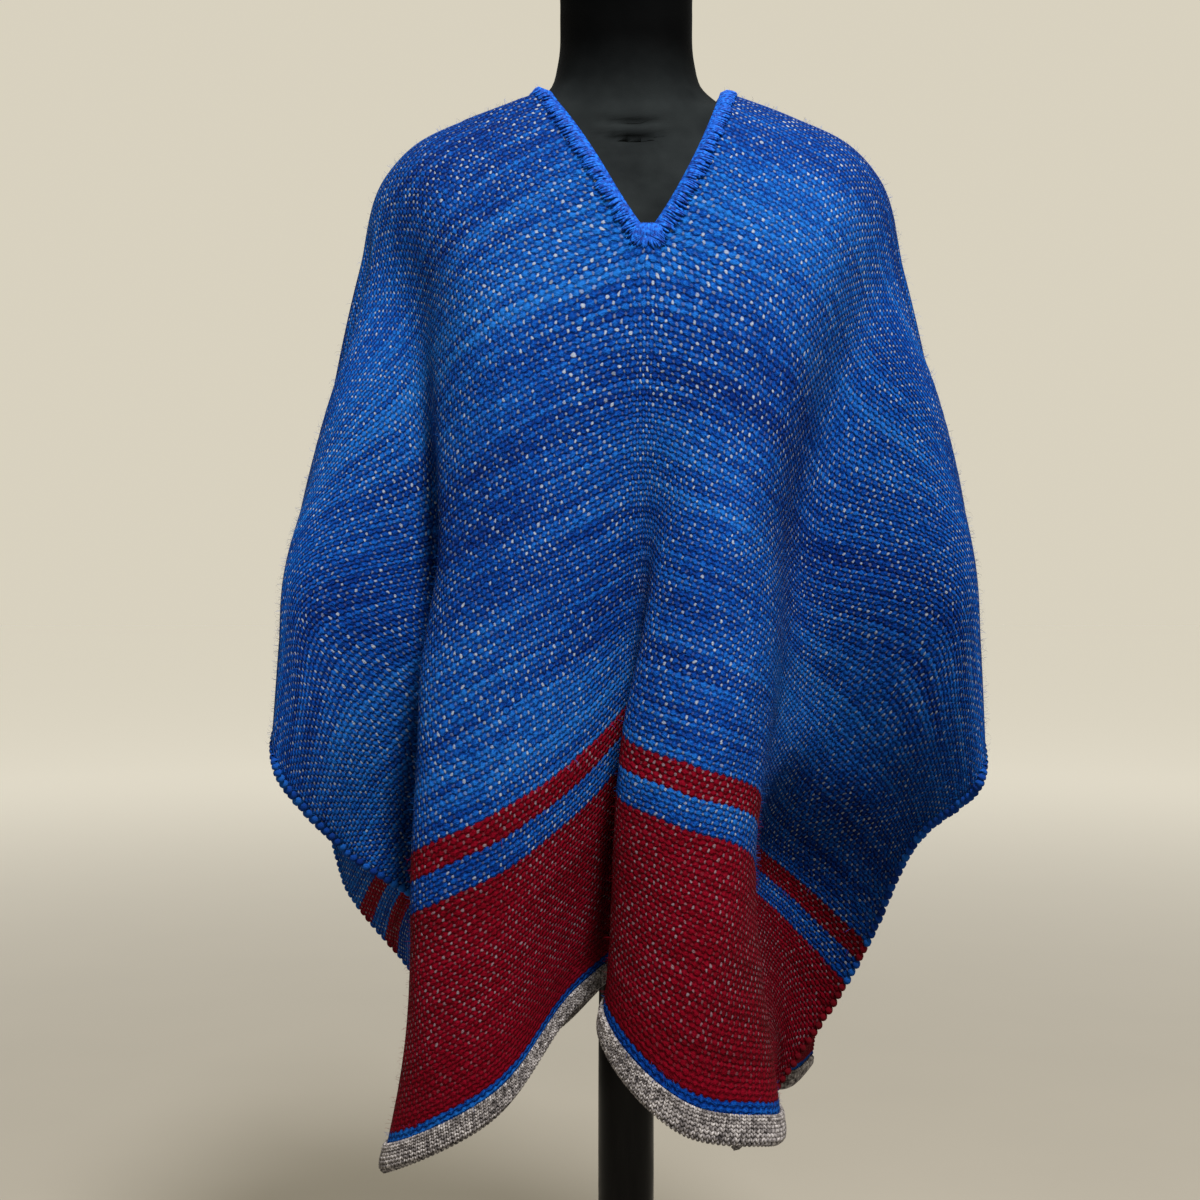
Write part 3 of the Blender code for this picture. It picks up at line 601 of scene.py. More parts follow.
def build_loops(material, rng):
    """The weft's rounded turns along both selvedges."""
    centres = np.arange(-HEM + BINDING_HEIGHT + LOOP_PITCH / 2, HEM - BINDING_HEIGHT, LOOP_PITCH)
    count, rings = len(centres), len(LOOP_SWELL)
    reach = np.linspace(-1, 1, rings)
    paths, ups, flats = [], [], []
    for side in (-1.0, 1.0):
        own = centres + rng.uniform(-LOOP_SHIFT_SPREAD, LOOP_SHIFT_SPREAD, count)
        v = (own[:, None] + reach[None] * LOOP_PITCH * LOOP_LENGTH / 2).ravel()
        extra = rng.uniform(-LOOP_OUT_SPREAD, LOOP_OUT_SPREAD, count)[:, None]
        out = (LOOP_OUT + extra - LOOP_CURVE * reach[None] ** 2).ravel()
        middle, outward, across, _ = cloth_frame(np.full_like(v, HALF_WIDTH * side), v)
        paths.append((middle + out[:, None] * across * side).reshape(count, rings, 3))
        ups.append(outward.reshape(count, rings, 3))
        each = (rings - 2) * LOOP_SIDES + 2
        own_flat = np.stack([np.full_like(centres, side * (HALF_WIDTH - LOOP_INSET)), centres], 1)
        flats.append(np.repeat(own_flat, each, 0))
    radii = LOOP_RADIUS * np.array(LOOP_SWELL)
    points, faces = strands(np.concatenate(paths), np.concatenate(ups), radii, LOOP_SIDES)
    return add_mesh("selvedge_loops", points, faces, material, np.concatenate(flats))


def hem_profile(share):
    """Flat distance from the binding's seam and half thickness, from outer seam round to inner seam."""
    loop = (
        # share of the way round, distance down, half thickness (minus inside)
        (0.00, 0.0005, 0.0024), (0.04, 0.0020, 0.0036), (0.20, 0.0090, 0.0041), (0.38, 0.0190, 0.0041),
        (0.45, 0.0232, 0.0030), (0.50, 0.0256, 0.0000), (0.55, 0.0232, -0.0030), (0.62, 0.0190, -0.0041),
        (0.80, 0.0090, -0.0041), (0.96, 0.0020, -0.0036), (1.00, 0.0005, -0.0024),
    )
    rows = np.asarray(loop)
    places = smooth_curve(rows[:, 0], rows[:, 1:], share)
    return places[:, 0], places[:, 1]


def hem_surface(u, share, sign, lift):
    """Points on a binding, lifted off it, and its outward directions.

    They lie at flat u and at each one's share of the way round the binding.
    """
    down, half = hem_profile(share)
    down_to, half_to = hem_profile(np.clip(share + 0.004, 0, 1))
    down_from, half_from = hem_profile(np.clip(share - 0.004, 0, 1))
    rate = np.stack([down_to - down_from, half_to - half_from], 1)
    rate /= np.linalg.norm(rate, axis=1, keepdims=True)
    seam = HEM - BINDING_HEIGHT
    middle, outward, _, along = cloth_frame(u, sign * np.clip(seam + down, None, HEM))
    facing = outward * rate[:, :1] - along * sign * rate[:, 1:]
    return middle + outward * half[:, None] + facing * lift, facing


def build_binding(name, sign, material):
    """A knitted strip that wraps the hem: a base and rows of stitches over it."""
    around, columns = BASE_AROUND, BASE_COLUMNS
    share = np.linspace(0, 1, around)
    us = np.linspace(-HALF_WIDTH, HALF_WIDTH, columns)
    grid_u, grid_s = np.repeat(us, around), np.tile(share, columns)
    base, _ = hem_surface(grid_u, grid_s, sign, -BASE_SINK)
    count = round(2 * HALF_WIDTH / KNIT_STITCH)
    centre = (np.arange(count) + 0.5) * 2 * HALF_WIDTH / count - HALF_WIDTH
    paths_u, paths_s = [], []
    for side in (-1, 1):
        for row in range(KNIT_ROWS):
            paths_u.append(np.stack([centre + side * KNIT_STITCH * k for k in LEG_OUT], 1))
            paths_s.append(np.tile([(row + k) / KNIT_ROWS for k in LEG_RISE], (count, 1)))
    u = np.clip(np.concatenate(paths_u), -HALF_WIDTH, HALF_WIDTH)
    s = np.clip(np.concatenate(paths_s), 0.0, 1.0)
    points, facing = hem_surface(u.ravel(), s.ravel(), sign, np.tile(LEG_LIFT, len(u))[:, None])
    radii = [0, KNIT_RADIUS, KNIT_RADIUS, 0]
    knit, knit_faces = strands(points.reshape(*u.shape, 3), facing.reshape(*u.shape, 3), radii, KNIT_SIDES)
    base, faces = stack_rings(base.reshape(columns, around, 3))
    faces += [tuple(corner + len(base) for corner in face) for face in knit_faces]
    return add_mesh(name, np.concatenate([base, knit]), faces, material)


def off_slit(u, side=1):
    """Flat u, moved just off the slit's line where it lies on it."""
    return np.where(np.abs(u) < OFF_SLIT, OFF_SLIT * side, u)


def edge_stitches(side, layer, rng):
    """Paths of a layer of stitches that wrap one edge of the slit, and their directions outward."""
    at = np.arange(-SLIT_BACK + 0.001, SLIT_FRONT - 0.0005, STITCH_PITCH)
    count, reach = len(at), np.array(EDGE_REACH)
    low_end = smooth_step((at - SLIT_FRONT + LOW_END_REACH) / LOW_END_REACH)
    length = EDGE_LENGTH + LOW_END_LENGTH * low_end
    length += rng.uniform(-EDGE_LENGTH_SPREAD, EDGE_LENGTH_SPREAD, count)
    lean = rng.uniform(-EDGE_LEAN_SPREAD, EDGE_LEAN_SPREAD, count) + LOW_END_LEAN * low_end
    u = (np.abs(reach[None]) * length[:, None]).ravel() * side
    v = (at[:, None] + STITCH_PITCH * layer + lean[:, None] * np.abs(reach[None])).ravel()
    middle, outward, across, _ = cloth_frame(off_slit(u, side), v)
    swell = rng.uniform(*EDGE_SWELLS, count)[:, None] * (CLOTH_THICKNESS / 2 + EDGE_LAYER_RISE * layer)
    lift = (np.array(EDGE_LIFT)[None] * swell).ravel()[:, None]
    past = np.tile(EDGE_PAST, count)[:, None]
    shape = (count, len(reach), 3)
    return (middle + outward * lift + across * side * past).reshape(shape), outward.reshape(shape)


def fan_stitches(rng):
    """Paths of the stitches that fan out round both ends of the slit, and their directions outward."""
    rings, flat = len(FAN_LIFT), []
    for centre, sign in ((SLIT_FRONT, 1), (-SLIT_BACK, -1)):
        for angle in np.radians(np.arange(-78, 79, 6)):
            start = rng.uniform(0.0, 0.0014)
            reach = np.linspace(start, FAN_LENGTH + rng.uniform(-0.0018, 0.0020), rings)
            turned = angle + np.linspace(0, rng.uniform(-0.16, 0.16), rings)
            flat.append((np.sin(turned) * reach, centre + sign * (np.cos(turned) * reach - 0.002)))
    u, v = (np.concatenate([row[k] for row in flat]) for k in (0, 1))
    middle, outward, _, _ = cloth_frame(off_slit(u), v)
    lift = np.tile(np.array(FAN_LIFT) * CLOTH_THICKNESS / 2, len(flat))[:, None]
    shape = (len(flat), rings, 3)
    return (middle + outward * lift).reshape(shape), outward.reshape(shape)


def closing_stitches(rng):
    """Paths of the upright stitches that close the slit's pointed front end, and directions outward."""
    across = np.repeat(np.linspace(-END_HALF_WIDTH, END_HALF_WIDTH, END_COUNT), 2)
    start_v = np.full_like(across, SLIT_FRONT - END_ABOVE)
    left, right = (cloth_frame(np.full_like(across, OFF_SLIT * side), start_v) for side in (-1, 1))
    start = (left[0] + right[0]) / 2 + across[:, None] * np.array([1.0, 0.0, 0.0])
    start += (left[1] + right[1]) / 2 * 0.0010
    end_v = SLIT_FRONT + END_BELOW + rng.uniform(-0.0030, 0.0025, len(across))
    end_u = across * 1.25 + rng.uniform(-0.0012, 0.0012, len(across))
    end, outward, _, _ = cloth_frame(off_slit(end_u), end_v)
    end += outward * END_CROWN
    rings = len(STITCH_RADII)
    share = np.linspace(0, 1, rings)[None, :, None]
    crown = np.sin(share * math.pi) * END_CROWN
    paths = start[:, None] * (1 - share) + end[:, None] * share + outward[:, None] * crown
    return paths, np.repeat(outward[:, None], rings, axis=1)


def build_edging(material, rng):
    """Buttonhole stitches round the slit, splayed and longest at its front end."""
    sets = [edge_stitches(side, layer, rng) for side in (-1.0, 1.0) for layer in (0.0, 0.5)]
    sets += [fan_stitches(rng), closing_stitches(rng)]
    paths, ups = (np.concatenate([row[k] for row in sets]) for k in (0, 1))
    points, faces = strands(paths, ups, np.array(STITCH_RADII) * STITCH_RADIUS, STITCH_SIDES)
    return add_mesh("neck_stitches", points, faces, material)


def build_fuzz(material, rng):
    """Short loose fibres that stand off both faces of the cloth."""
    count = FIBRE_COUNT
    u = off_slit(rng.uniform(-HALF_WIDTH, HALF_WIDTH, count))
    v = rng.uniform(-HEM + BINDING_HEIGHT, HEM - BINDING_HEIGHT, count)
    middle, outward, across, along = cloth_frame(u, v)
    side = np.where(rng.uniform(size=count) < OUTER_SHARE, 1.0, -1.0)[:, None]
    length = rng.uniform(*FIBRE_LENGTHS, count)[:, None]
    heading = rng.uniform(0, 2 * math.pi, count)[:, None]
    lean = np.cos(heading) * across + np.sin(heading) * along
    beside = np.cross(lean, outward)
    beside /= np.linalg.norm(beside, axis=1, keepdims=True)
    root = middle + outward * side * (CLOTH_THICKNESS / 2 - FIBRE_ROOT_DEPTH)
    bend = root + length * (0.45 * outward * side + 0.25 * lean)
    tip = root + length * (0.60 * outward * side + 0.80 * lean)
    half = beside * FIBRE_HALF_WIDTH
    points = np.stack([root - half, root + half, bend + half, bend - half, tip], 1).reshape(-1, 3)
    faces = []
    for first in range(0, 5 * count, 5):
        faces += [(first, first + 1, first + 2, first + 3), (first + 3, first + 2, first + 4)]
    return add_mesh("wool_fuzz", points, faces, material, np.repeat(np.stack([u, v], 1), 5, axis=0))


def build_form(material):
    """The velvet torso and neck, with the two creases at the front of the neck's base."""
    table = np.asarray(FORM_RINGS)
    way = np.concatenate([[0], np.cumsum(np.hypot(np.diff(table[:, 0]), np.diff(table[:, 1])))])
    rows = smooth_curve(way, table, np.linspace(0, way[-1], FORM_STEPS))
    turn = np.arange(FORM_SIDES) * 2 * math.pi / FORM_SIDES
    x = rows[:, 1:2] * np.cos(turn)
    y = rows[:, 3:4] + rows[:, 2:3] * np.sin(turn)
    z = np.repeat(rows[:, :1], FORM_SIDES, axis=1)
    front = np.clip(-np.sin(turn), 0, 1)[None] ** 2
    for height, half_length, depth in CREASES:
        line = height + CREASE_CURVE * (x - CREASE_X) ** 2
        fade = np.clip(1 - ((x - CREASE_X) / half_length) ** 2, 0, 1) * front * depth
        y = y + fade * np.exp(-(((z - line) / CREASE_HALF_WIDTH) ** 2))
        below = (z - line + CREASE_LIP_DROP) / CREASE_LIP_HALF_WIDTH
        y = y - fade * CREASE_LIP_SHARE * np.exp(-(below**2))
    points, faces = stack_rings(np.stack([x, y, z], 2))
    return add_mesh("velvet_form", points, faces, material)


def build_turned(name, profile, material, rounding):
    """A turned piece from its heights and radii, with its corners eased."""
    table = np.asarray(profile)
    way = np.concatenate([[0], np.cumsum(np.hypot(np.diff(table[:, 0]), np.diff(table[:, 1])))])
    rows = smooth_curve(way, table, np.linspace(0, way[-1], TURNED_STEPS)) if rounding else table
    ends = rows[[0, -1]] - (0.0, TURNED_EASE)
    rows = np.concatenate([ends[:1], rows, ends[1:]])
    turn = np.arange(TURNED_SIDES) * 2 * math.pi / TURNED_SIDES
    z = np.repeat(rows[:, :1], TURNED_SIDES, axis=1)
    points, faces = stack_rings(np.stack([rows[:, 1:2] * np.cos(turn), rows[:, 1:2] * np.sin(turn), z], 2))
    return add_mesh(name, points, faces, material)


# Materials


class Shader:
    """Short calls that add nodes to a new Principled material."""

    def __init__(self, name, roughness, **sockets):
        self.material = bpy.data.materials.new(name)
        self.material.use_nodes = True
        self.tree = self.material.node_tree
        self.out = self.tree.nodes["Principled BSDF"]
        self.out.inputs["Roughness"].default_value = roughness
        for socket, value in sockets.items():
            self.out.inputs[socket.replace("_", " ")].default_value = value

    def put(self, value, socket):
        """Link an output to a socket, or set the socket to a value."""
        if isinstance(value, bpy.types.NodeSocket):
            self.tree.links.new(value, socket)
        else:
            socket.default_value = value

    def math(self, operation, *values):
        node = self.tree.nodes.new("ShaderNodeMath")
        node.operation = operation
        for value, socket in zip(values, node.inputs):
            self.put(value, socket)
        return node.outputs[0]

    def plus(self, first, second):
        return self.math("ADD", first, second)

    def minus(self, first, second):
        return self.math("SUBTRACT", first, second)

    def times(self, first, second):
        return self.math("MULTIPLY", first, second)

    def over(self, first, second):
        return self.math("DIVIDE", first, second)

    def flat(self):
        """The cloth's flat u and v, in metres."""
        node = self.tree.nodes.new("ShaderNodeUVMap")
        node.uv_map = "flat"
        return self.parts(node.outputs[0])[:2]

    def place(self):
        return self.tree.nodes.new("ShaderNodeTexCoord").outputs["Object"]

    def parts(self, vector):
        """The x, y and z of a vector."""
        node = self.tree.nodes.new("ShaderNodeSeparateXYZ")
        self.put(vector, node.inputs[0])
        return tuple(node.outputs)

    def vector(self, *values):
        node = self.tree.nodes.new("ShaderNodeCombineXYZ")
        for value, socket in zip(values, node.inputs):
            self.put(value, socket)
        return node.outputs[0]

    def noise(self, vector, scale, detail=2.0):
        node = self.tree.nodes.new("ShaderNodeTexNoise")
        self.put(vector, node.inputs["Vector"])
        node.inputs["Scale"].default_value = scale
        node.inputs["Detail"].default_value = detail
        return node.outputs["Fac"]

    def random(self, vector):
        node = self.tree.nodes.new("ShaderNodeTexWhiteNoise")
        self.put(vector, node.inputs["Vector"])
        return node.outputs["Value"]

    def ramp(self, value, stops, constant=False):
        node = self.tree.nodes.new("ShaderNodeValToRGB")
        ramp = node.color_ramp
        ramp.interpolation = "CONSTANT" if constant else "LINEAR"
        while len(ramp.elements) < len(stops):
            ramp.elements.new(1.0)
        for element, (at, colour) in zip(ramp.elements, stops):
            element.position = at
            element.color = (*colour, 1.0)
        self.put(value, node.inputs[0])
        return node.outputs[0]

    def spread(self, value, low, high, to_low=0.0, to_high=1.0):
        """A smooth step from to_low to to_high as value goes from low to high."""
        node = self.tree.nodes.new("ShaderNodeMapRange")
        node.interpolation_type = "SMOOTHSTEP"
        for number, socket in zip((value, low, high, to_low, to_high), node.inputs):
            self.put(number, socket)
        return node.outputs[0]

    def mix(self, share, first, second, blend="MIX"):
        node = self.tree.nodes.new("ShaderNodeMix")
        node.data_type = "RGBA"
        node.blend_type = blend
        colours = [s for s in node.inputs if s.type == "RGBA"]
        self.put(share, node.inputs[0])
        for value, socket in zip((first, second), colours):
            self.put(value if isinstance(value, bpy.types.NodeSocket) else (*value, 1.0), socket)
        return [s for s in node.outputs if s.type == "RGBA"][0]

    def finish(self, colour, height=None, distance=0.001, strength=1.0):
        self.put(colour, self.out.inputs["Base Color"])
        if height is not None:
            bump = self.tree.nodes.new("ShaderNodeBump")
            bump.inputs["Distance"].default_value = distance
            bump.inputs["Strength"].default_value = strength
            self.put(height, bump.inputs["Height"])
            self.put(bump.outputs[0], self.out.inputs["Normal"])
        return self.material


# Colours of the yarns
DARK_BLUE = (0.0006, 0.009, 0.078)
MID_BLUE = (0.0012, 0.027, 0.165)
LIGHT_BLUE = (0.0060, 0.072, 0.275)
DARK_CRIMSON = (0.044, 0.0003, 0.0020)
CRIMSON = (0.084, 0.0004, 0.0042)
LIGHT_CRIMSON = (0.125, 0.0016, 0.0090)
WARP = (0.225, 0.255, 0.300)
DIM_WARP = (0.080, 0.096, 0.125)


def stripe_share(shader, v, distance):
    """1 in the crimson stripes and 0 in the blue ones, for the front or the back half."""
    at = shader.over(distance, STRIPE_SPAN)
    colours = {"blue": (0, 0, 0), "crimson": (1, 1, 1)}
    front, back = (
        shader.ramp(at, [(d / STRIPE_SPAN, colours[name]) for d, name in stripes], constant=True)
        for stripes in (FRONT_STRIPES, BACK_STRIPES)
    )
    return shader.mix(shader.math("LESS_THAN", v, 0.0), front, back)


def weave_material():
    """Thick variegated weft rows over pale warp ends, drawn in the flat cloth's own metres."""
    s = Shader("woven_wool", 0.95, Specular_IOR_Level=0.03)
    u, v = s.flat()
    flat = s.vector(u, v, 0.0)
    # Hand weaving: rows bend over centimetres and each bulge has its own shape
    wobble = s.minus(s.noise(flat, 16.0, 1.0), 0.5)
    ragged = s.minus(s.noise(flat, 150.0, 2.0), 0.5)
    row_at = s.plus(s.over(v, ROW_PITCH), s.times(wobble, 0.9))
    row_at = s.plus(row_at, s.times(ragged, 0.75))
    sway = s.minus(s.noise(s.vector(u, v, 3.0), 24.0, 1.0), 0.5)
    loose = s.minus(s.noise(s.vector(u, v, 9.0), 140.0, 2.0), 0.5)
    dot_at = s.plus(s.over(u, DOT_PITCH), s.times(sway, 0.5))
    dot_at = s.plus(dot_at, s.times(loose, 0.65))
    wave = s.math("COSINE", s.times(dot_at, 2 * math.pi))
    turn = s.math("COSINE", s.times(row_at, math.pi))
    row_at = s.minus(row_at, s.times(s.times(wave, turn), INTERLOCK))
    row = s.math("FLOOR", row_at)
    in_row = s.minus(row_at, row)
    odd = s.math("FRACT", s.times(row, 0.5))
    dot_at = s.plus(s.plus(dot_at, odd), 0.5)
    dot = s.math("FLOOR", dot_at)
    from_dot = s.minus(s.minus(dot_at, dot), 0.5)
    # Stripes follow whole rows
    middle = s.times(s.plus(row, 0.5), ROW_PITCH)
    distance = s.minus(HEM, s.math("ABSOLUTE", middle))
    red = stripe_share(s, v, distance)
    # Pale warp ends, each a small upright oval of its own size and brightness
    chance = s.random(s.vector(dot, row, 0.0))
    size = s.random(s.vector(dot, row, 4.0))
    beside = s.times(from_dot, DOT_PITCH)
    beside = s.over(beside, s.math("MULTIPLY_ADD", size, 0.00030, 0.00088))
    above = s.times(s.minus(in_row, 0.5), ROW_PITCH)
    above = s.over(above, s.math("MULTIPLY_ADD", size, 0.0006, 0.0020))
    oval = s.plus(s.math("POWER", s.math("ABSOLUTE", beside), 2.0),
                  s.math("POWER", s.math("ABSOLUTE", above), 2.0))
    end = s.spread(oval, 0.2, 1.6, 1.0, 0.0)
    dense = s.spread(s.noise(s.vector(u, v, 6.0), 11.0, 1.0), 0.35, 0.62, 0.0, 0.35)
    bright = s.spread(s.plus(chance, dense), 0.10, 1.10, 0.05, 0.88)
    bright = s.times(bright, s.math("MULTIPLY_ADD", red, -0.50, 1.0))
    bright = s.times(bright, s.spread(distance, 0.036, 0.110, 0.0, 1.0))
    shown = s.times(end, bright)
    # Height of the weft's rounded rows, low where a warp end crosses over
    bulge = s.math("MULTIPLY_ADD", s.math("COSINE", s.times(from_dot, 2 * math.pi)), -0.5, 0.5)
    crown = s.math("MULTIPLY_ADD", s.math("COSINE", s.times(in_row, 2 * math.pi)), -0.5, 0.5)
    weft = s.times(crown, s.math("MULTIPLY_ADD", bulge, 0.60, 0.40))
    fibre = s.noise(s.vector(s.times(u, 420.0), s.times(v, 1300.0), 0.0), 1.0, 3.0)
    hair = s.noise(flat, 620.0, 2.0)
    height = s.math("MAXIMUM", weft, s.times(end, 0.55))
    height = s.plus(height, s.times(fibre, 0.50))
    height = s.plus(height, s.times(hair, 0.55))
    # The yarn's changing blues run along each row
    streak = s.noise(s.vector(s.times(u, 5.0), s.times(row, 0.62), 0.0), 1.0, 2.0)
    broad = s.noise(s.vector(s.times(u, 2.6), s.times(v, 7.0), 5.0), 1.0, 1.0)
    each = s.random(s.vector(row, 7.0, 0.0))
    piece = s.random(s.vector(dot, row, 8.0))
    tone = s.plus(s.times(streak, 0.56), s.times(broad, 0.44))
    for change, share in ((each, 0.07), (piece, 0.07), (fibre, 0.42), (hair, 0.42)):
        tone = s.plus(tone, s.times(s.minus(change, 0.5), share))
    # Painted shade and light: the tone drops in the gaps between the rows and rises on their crowns
    tone = s.plus(tone, s.times(s.minus(weft, 0.4), 0.12))
    blue = s.ramp(tone, [(0.34, DARK_BLUE), (0.51, MID_BLUE), (0.70, LIGHT_BLUE)])
    crimson = s.ramp(tone, [(0.30, DARK_CRIMSON), (0.52, CRIMSON), (0.78, LIGHT_CRIMSON)])
    colour = s.mix(red, blue, crimson)
    # Painted shade: the colour is darkened where the weave's height is low, between the rows and bulges, and
    # lifted a little on the crowns
    hollow = s.ramp(s.times(height, 0.6), [(0.20, (0.50, 0.51, 0.54)), (0.72, (1.08, 1.08, 1.08))])
    colour = s.mix(1.0, colour, hollow, "MULTIPLY")
    colour = s.mix(shown, colour, s.mix(s.spread(size, 0.2, 0.9), DIM_WARP, WARP))
    return s.finish(colour, height, 0.0013, 1.0)


def fuzz_material():
    """The loose fibres, in the colour of the row that they come from."""
    s = Shader("wool_fibre", 0.9, Specular_IOR_Level=0.03)
    u, v = s.flat()
    tone = s.noise(s.vector(s.times(u, 40.0), s.times(v, 160.0), 0.0), 1.0, 1.0)
    blue = s.ramp(tone, [(0.3, MID_BLUE), (0.7, LIGHT_BLUE)])
    crimson = s.ramp(tone, [(0.3, CRIMSON), (0.7, LIGHT_CRIMSON)])
    distance = s.minus(HEM, s.math("ABSOLUTE", v))
    return s.finish(s.mix(stripe_share(s, v, distance), blue, crimson))


def loops_material():
    """The same yarns where the weft turns at the selvedge."""
    s = Shader("selvedge_yarn", 0.95, Specular_IOR_Level=0.08)
    u, v = s.flat()
    place = s.place()
    tone = s.noise(s.vector(s.times(u, 9.0), s.times(v, 60.0), 0.0), 1.0, 2.0)
    fibre = s.noise(place, 900.0, 2.0)
    tone = s.plus(tone, s.times(s.minus(fibre, 0.5), 0.3))
    blue = s.ramp(tone, [(0.3, DARK_BLUE), (0.5, MID_BLUE), (0.7, LIGHT_BLUE)])
    crimson = s.ramp(tone, [(0.3, DARK_CRIMSON), (0.6, CRIMSON)])
    distance = s.minus(HEM, s.math("ABSOLUTE", v))
    return s.finish(s.mix(stripe_share(s, v, distance), blue, crimson), fibre, 0.0006, 0.7)


def knit_material():
    """Flecked grey wool of dark, mid and pale fibres."""
    s = Shader("grey_heather_knit", 0.93, Specular_IOR_Level=0.10)
    place = s.place()
    fleck = s.noise(place, 290.0, 3.0)
    patch = s.noise(place, 60.0, 2.0)
    tone = s.plus(s.times(fleck, 0.8), s.times(patch, 0.2))
    colour = s.ramp(tone, [(0.35, (0.030, 0.027, 0.028)), (0.45, (0.105, 0.095, 0.097)),
                           (0.54, (0.200, 0.185, 0.186)), (0.64, (0.350, 0.330, 0.330))])
    return s.finish(colour, s.noise(place, 1500.0, 2.0), 0.0006, 0.8)


def edging_material():
    """Bright blue embroidery yarn with a soft shine."""
    s = Shader("bright_blue_yarn", 0.7, Specular_IOR_Level=0.15)
    place = s.place()
    tone = s.noise(place, 350.0, 2.0)
    stops = [(0.35, (0.000, 0.016, 0.140)), (0.52, (0.000, 0.052, 0.310)), (0.68, (0.003, 0.100, 0.450))]
    colour = s.ramp(tone, stops)
    return s.finish(colour, s.noise(place, 1800.0, 2.0), 0.0004, 0.7)


def velvet_material():
    """Short black stretch pile, greyer low on the neck as painted light, with blotchy painted highlights."""
    s = Shader("black_velvet", 0.85, Sheen_Weight=0.012, Sheen_Roughness=0.30, Specular_IOR_Level=0.02)
    s.out.inputs["Sheen Tint"].default_value = (0.75, 0.80, 0.85, 1.0)
    place = s.place()
    # Blotchy painted highlights: this noise lightens the colour in patches, and it also gives the pile a
    # faint bump
    blotch_noise = s.noise(place, 22.0, 3.0)
    pile = s.noise(place, 1400.0, 2.0)
    z = s.parts(place)[2]
    # Painted light: the neck is coloured greyer below about 1.35 m, at its base where light falls, and near
    # black above about 1.42 m
    dark = s.ramp(blotch_noise, [(0.35, (0.0001, 0.0002, 0.0003)), (0.68, (0.0006, 0.0007, 0.0008))])
    pale = s.ramp(blotch_noise, [(0.35, (0.0056, 0.0068, 0.0074)), (0.68, (0.0106, 0.0128, 0.0136))])
    colour = s.mix(s.spread(z, 1.345, 1.420, 1.0, 0.0), dark, pale)
    height = s.plus(s.times(blotch_noise, 2.0), s.times(pile, 0.5))
    return s.finish(colour, height, 0.0008, 0.5)


def lacquer_material():
    """Black satin lacquer over fine turned wood."""
    s = Shader("black_lacquer", 0.34, Specular_IOR_Level=0.08)
    place = s.place()
    stretched = [s.times(part, scale) for part, scale in zip(s.parts(place), (160.0, 160.0, 14.0))]
    grain = s.noise(s.vector(*stretched), 1.0, 3.0)
    smudge = s.noise(place, 30.0, 2.0)
    s.put(s.spread(smudge, 0.3, 0.75, 0.26, 0.46), s.out.inputs["Roughness"])
    colour = s.ramp(grain, [(0.35, (0.0016, 0.0014, 0.0014)), (0.7, (0.0040, 0.0036, 0.0034))])
    return s.finish(colour, grain, 0.0002, 0.4)


def floor_material():
    """Pale matt floor that grows paler toward its far edge, where it meets the backdrop."""
    s = Shader("pale_floor", 0.9, Specular_IOR_Level=0.1)
    tone = s.noise(s.place(), 3.0, 2.0)
    near = s.ramp(tone, [(0.3, (0.300, 0.282, 0.248)), (0.7, (0.308, 0.289, 0.254))])
    x, y, _ = s.parts(s.place())
    out = s.math("SQRT", s.plus(s.math("POWER", x, 2.0), s.math("POWER", y, 2.0)))
    return s.finish(s.mix(s.spread(out, *FLOOR_FADE), near, (1.0, 1.0, 1.0)))


# The floor: half its width, how far it lies below the foot, and from where to where it grows paler
FLOOR_REACH = 60.0
FLOOR_DROP = 0.0005
FLOOR_FADE = (0.8, 8.0)

# The light
ROOM_COLOUR = (0.690, 0.640, 0.522, 1.0)
LAMP_COLOUR = (1.0, 0.98, 0.95)
LAMPS = (
    # name, place, width in metres, power in watts
    ("key", (0.55, -1.75, 3.20), 0.6, 195.0),
    ("top", (0.0, 0.6, 3.4), 2.0, 20.0),
)
LAMP_TARGET = (0.0, 0.0, 1.0)

# The camera stands level. Its picture is 1200 pixels wide, and FOCAL_PIXELS is its focal length in them.
CAMERA_PLACE = (-0.0234, -1.5, 0.925)
PICTURE_WIDTH = 1200.0
FOCAL_PIXELS = 1666.7
SENSOR_WIDTH = 36.0


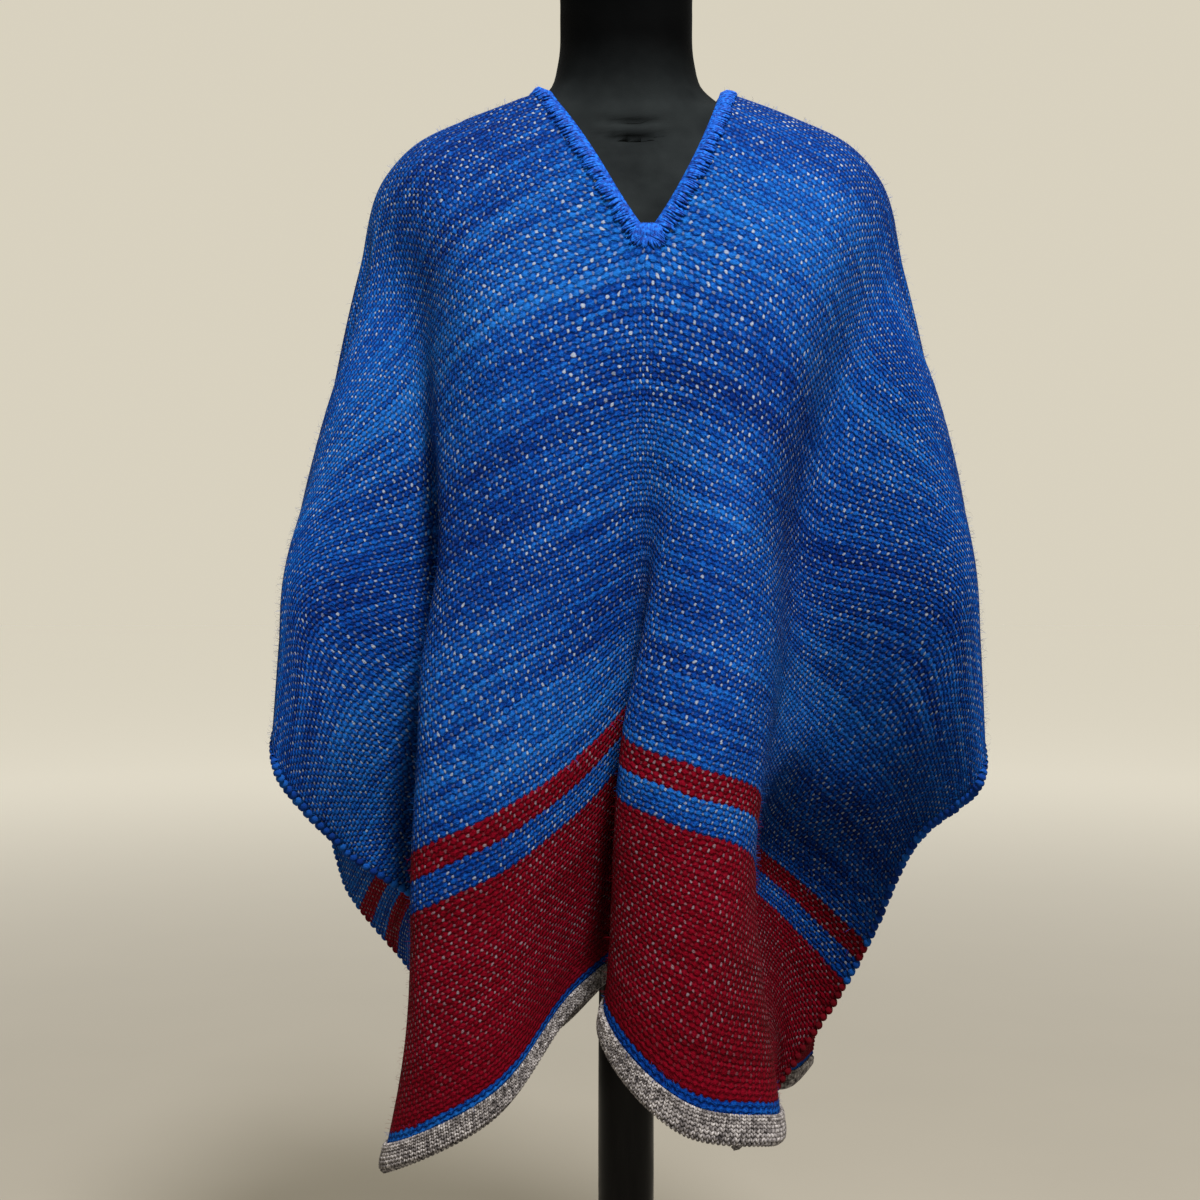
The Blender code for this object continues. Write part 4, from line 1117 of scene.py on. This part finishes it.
def build_floor():
    mesh = bpy.data.meshes.new("floor")
    turns = ((-1, -1), (1, -1), (1, 1), (-1, 1))
    mesh.from_pydata([(x * FLOOR_REACH, y * FLOOR_REACH, -FLOOR_DROP) for x, y in turns], [], [(0, 1, 2, 3)])
    mesh.materials.append(floor_material())
    floor = bpy.data.objects.new("floor", mesh)
    bpy.context.scene.collection.objects.link(floor)


def add_lamp(name, place, width, power):
    data = bpy.data.lights.new(name, "AREA")
    data.shape = "DISK"
    data.size = width
    data.energy = power
    data.color = LAMP_COLOUR
    lamp = bpy.data.objects.new(name, data)
    lamp.location = place
    lamp.rotation_mode = "QUATERNION"
    lamp.rotation_quaternion = (Vector(LAMP_TARGET) - Vector(place)).to_track_quat("-Z", "Y")
    bpy.context.scene.collection.objects.link(lamp)


def set_stage():
    build_floor()
    world = bpy.data.worlds.new("room")
    bpy.context.scene.world = world
    world.use_nodes = True
    back = world.node_tree.nodes["Background"]
    back.inputs["Color"].default_value = ROOM_COLOUR
    back.inputs["Strength"].default_value = 1.0
    bpy.context.scene.view_settings.view_transform = "Standard"
    for lamp in LAMPS:
        add_lamp(*lamp)


def set_camera():
    data = bpy.data.cameras.new("camera")
    data.sensor_width = SENSOR_WIDTH
    data.lens = SENSOR_WIDTH * FOCAL_PIXELS / PICTURE_WIDTH
    camera = bpy.data.objects.new("camera", data)
    camera.location = CAMERA_PLACE
    camera.rotation_euler = (math.pi / 2, 0.0, 0.0)
    bpy.context.scene.collection.objects.link(camera)
    bpy.context.scene.camera = camera


def main():
    for item in list(bpy.data.objects):
        bpy.data.objects.remove(item, do_unlink=True)
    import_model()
    rng = np.random.default_rng(7)

    cloth = build_cloth(weave_material())
    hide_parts("woven_front", "woven_back")
    loops = build_loops(loops_material(), rng)
    stitches = build_edging(edging_material(), rng)
    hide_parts("neck_edging")
    knit = knit_material()
    front_hem = build_binding("front_binding_knit", 1, knit)
    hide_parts("front_hem_binding")
    back_hem = build_binding("back_binding_knit", -1, knit)
    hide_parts("back_hem_binding")
    fuzz = build_fuzz(fuzz_material(), rng)
    form = build_form(velvet_material())
    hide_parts("dress_form")
    lacquer = lacquer_material()
    post = build_turned("turned_post", POST_PROFILE, lacquer, True)
    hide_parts("stand_post")
    foot = build_turned("round_foot", BASE_PROFILE, lacquer, False)
    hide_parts("stand_base")

    set_stage()
    set_camera()


main()
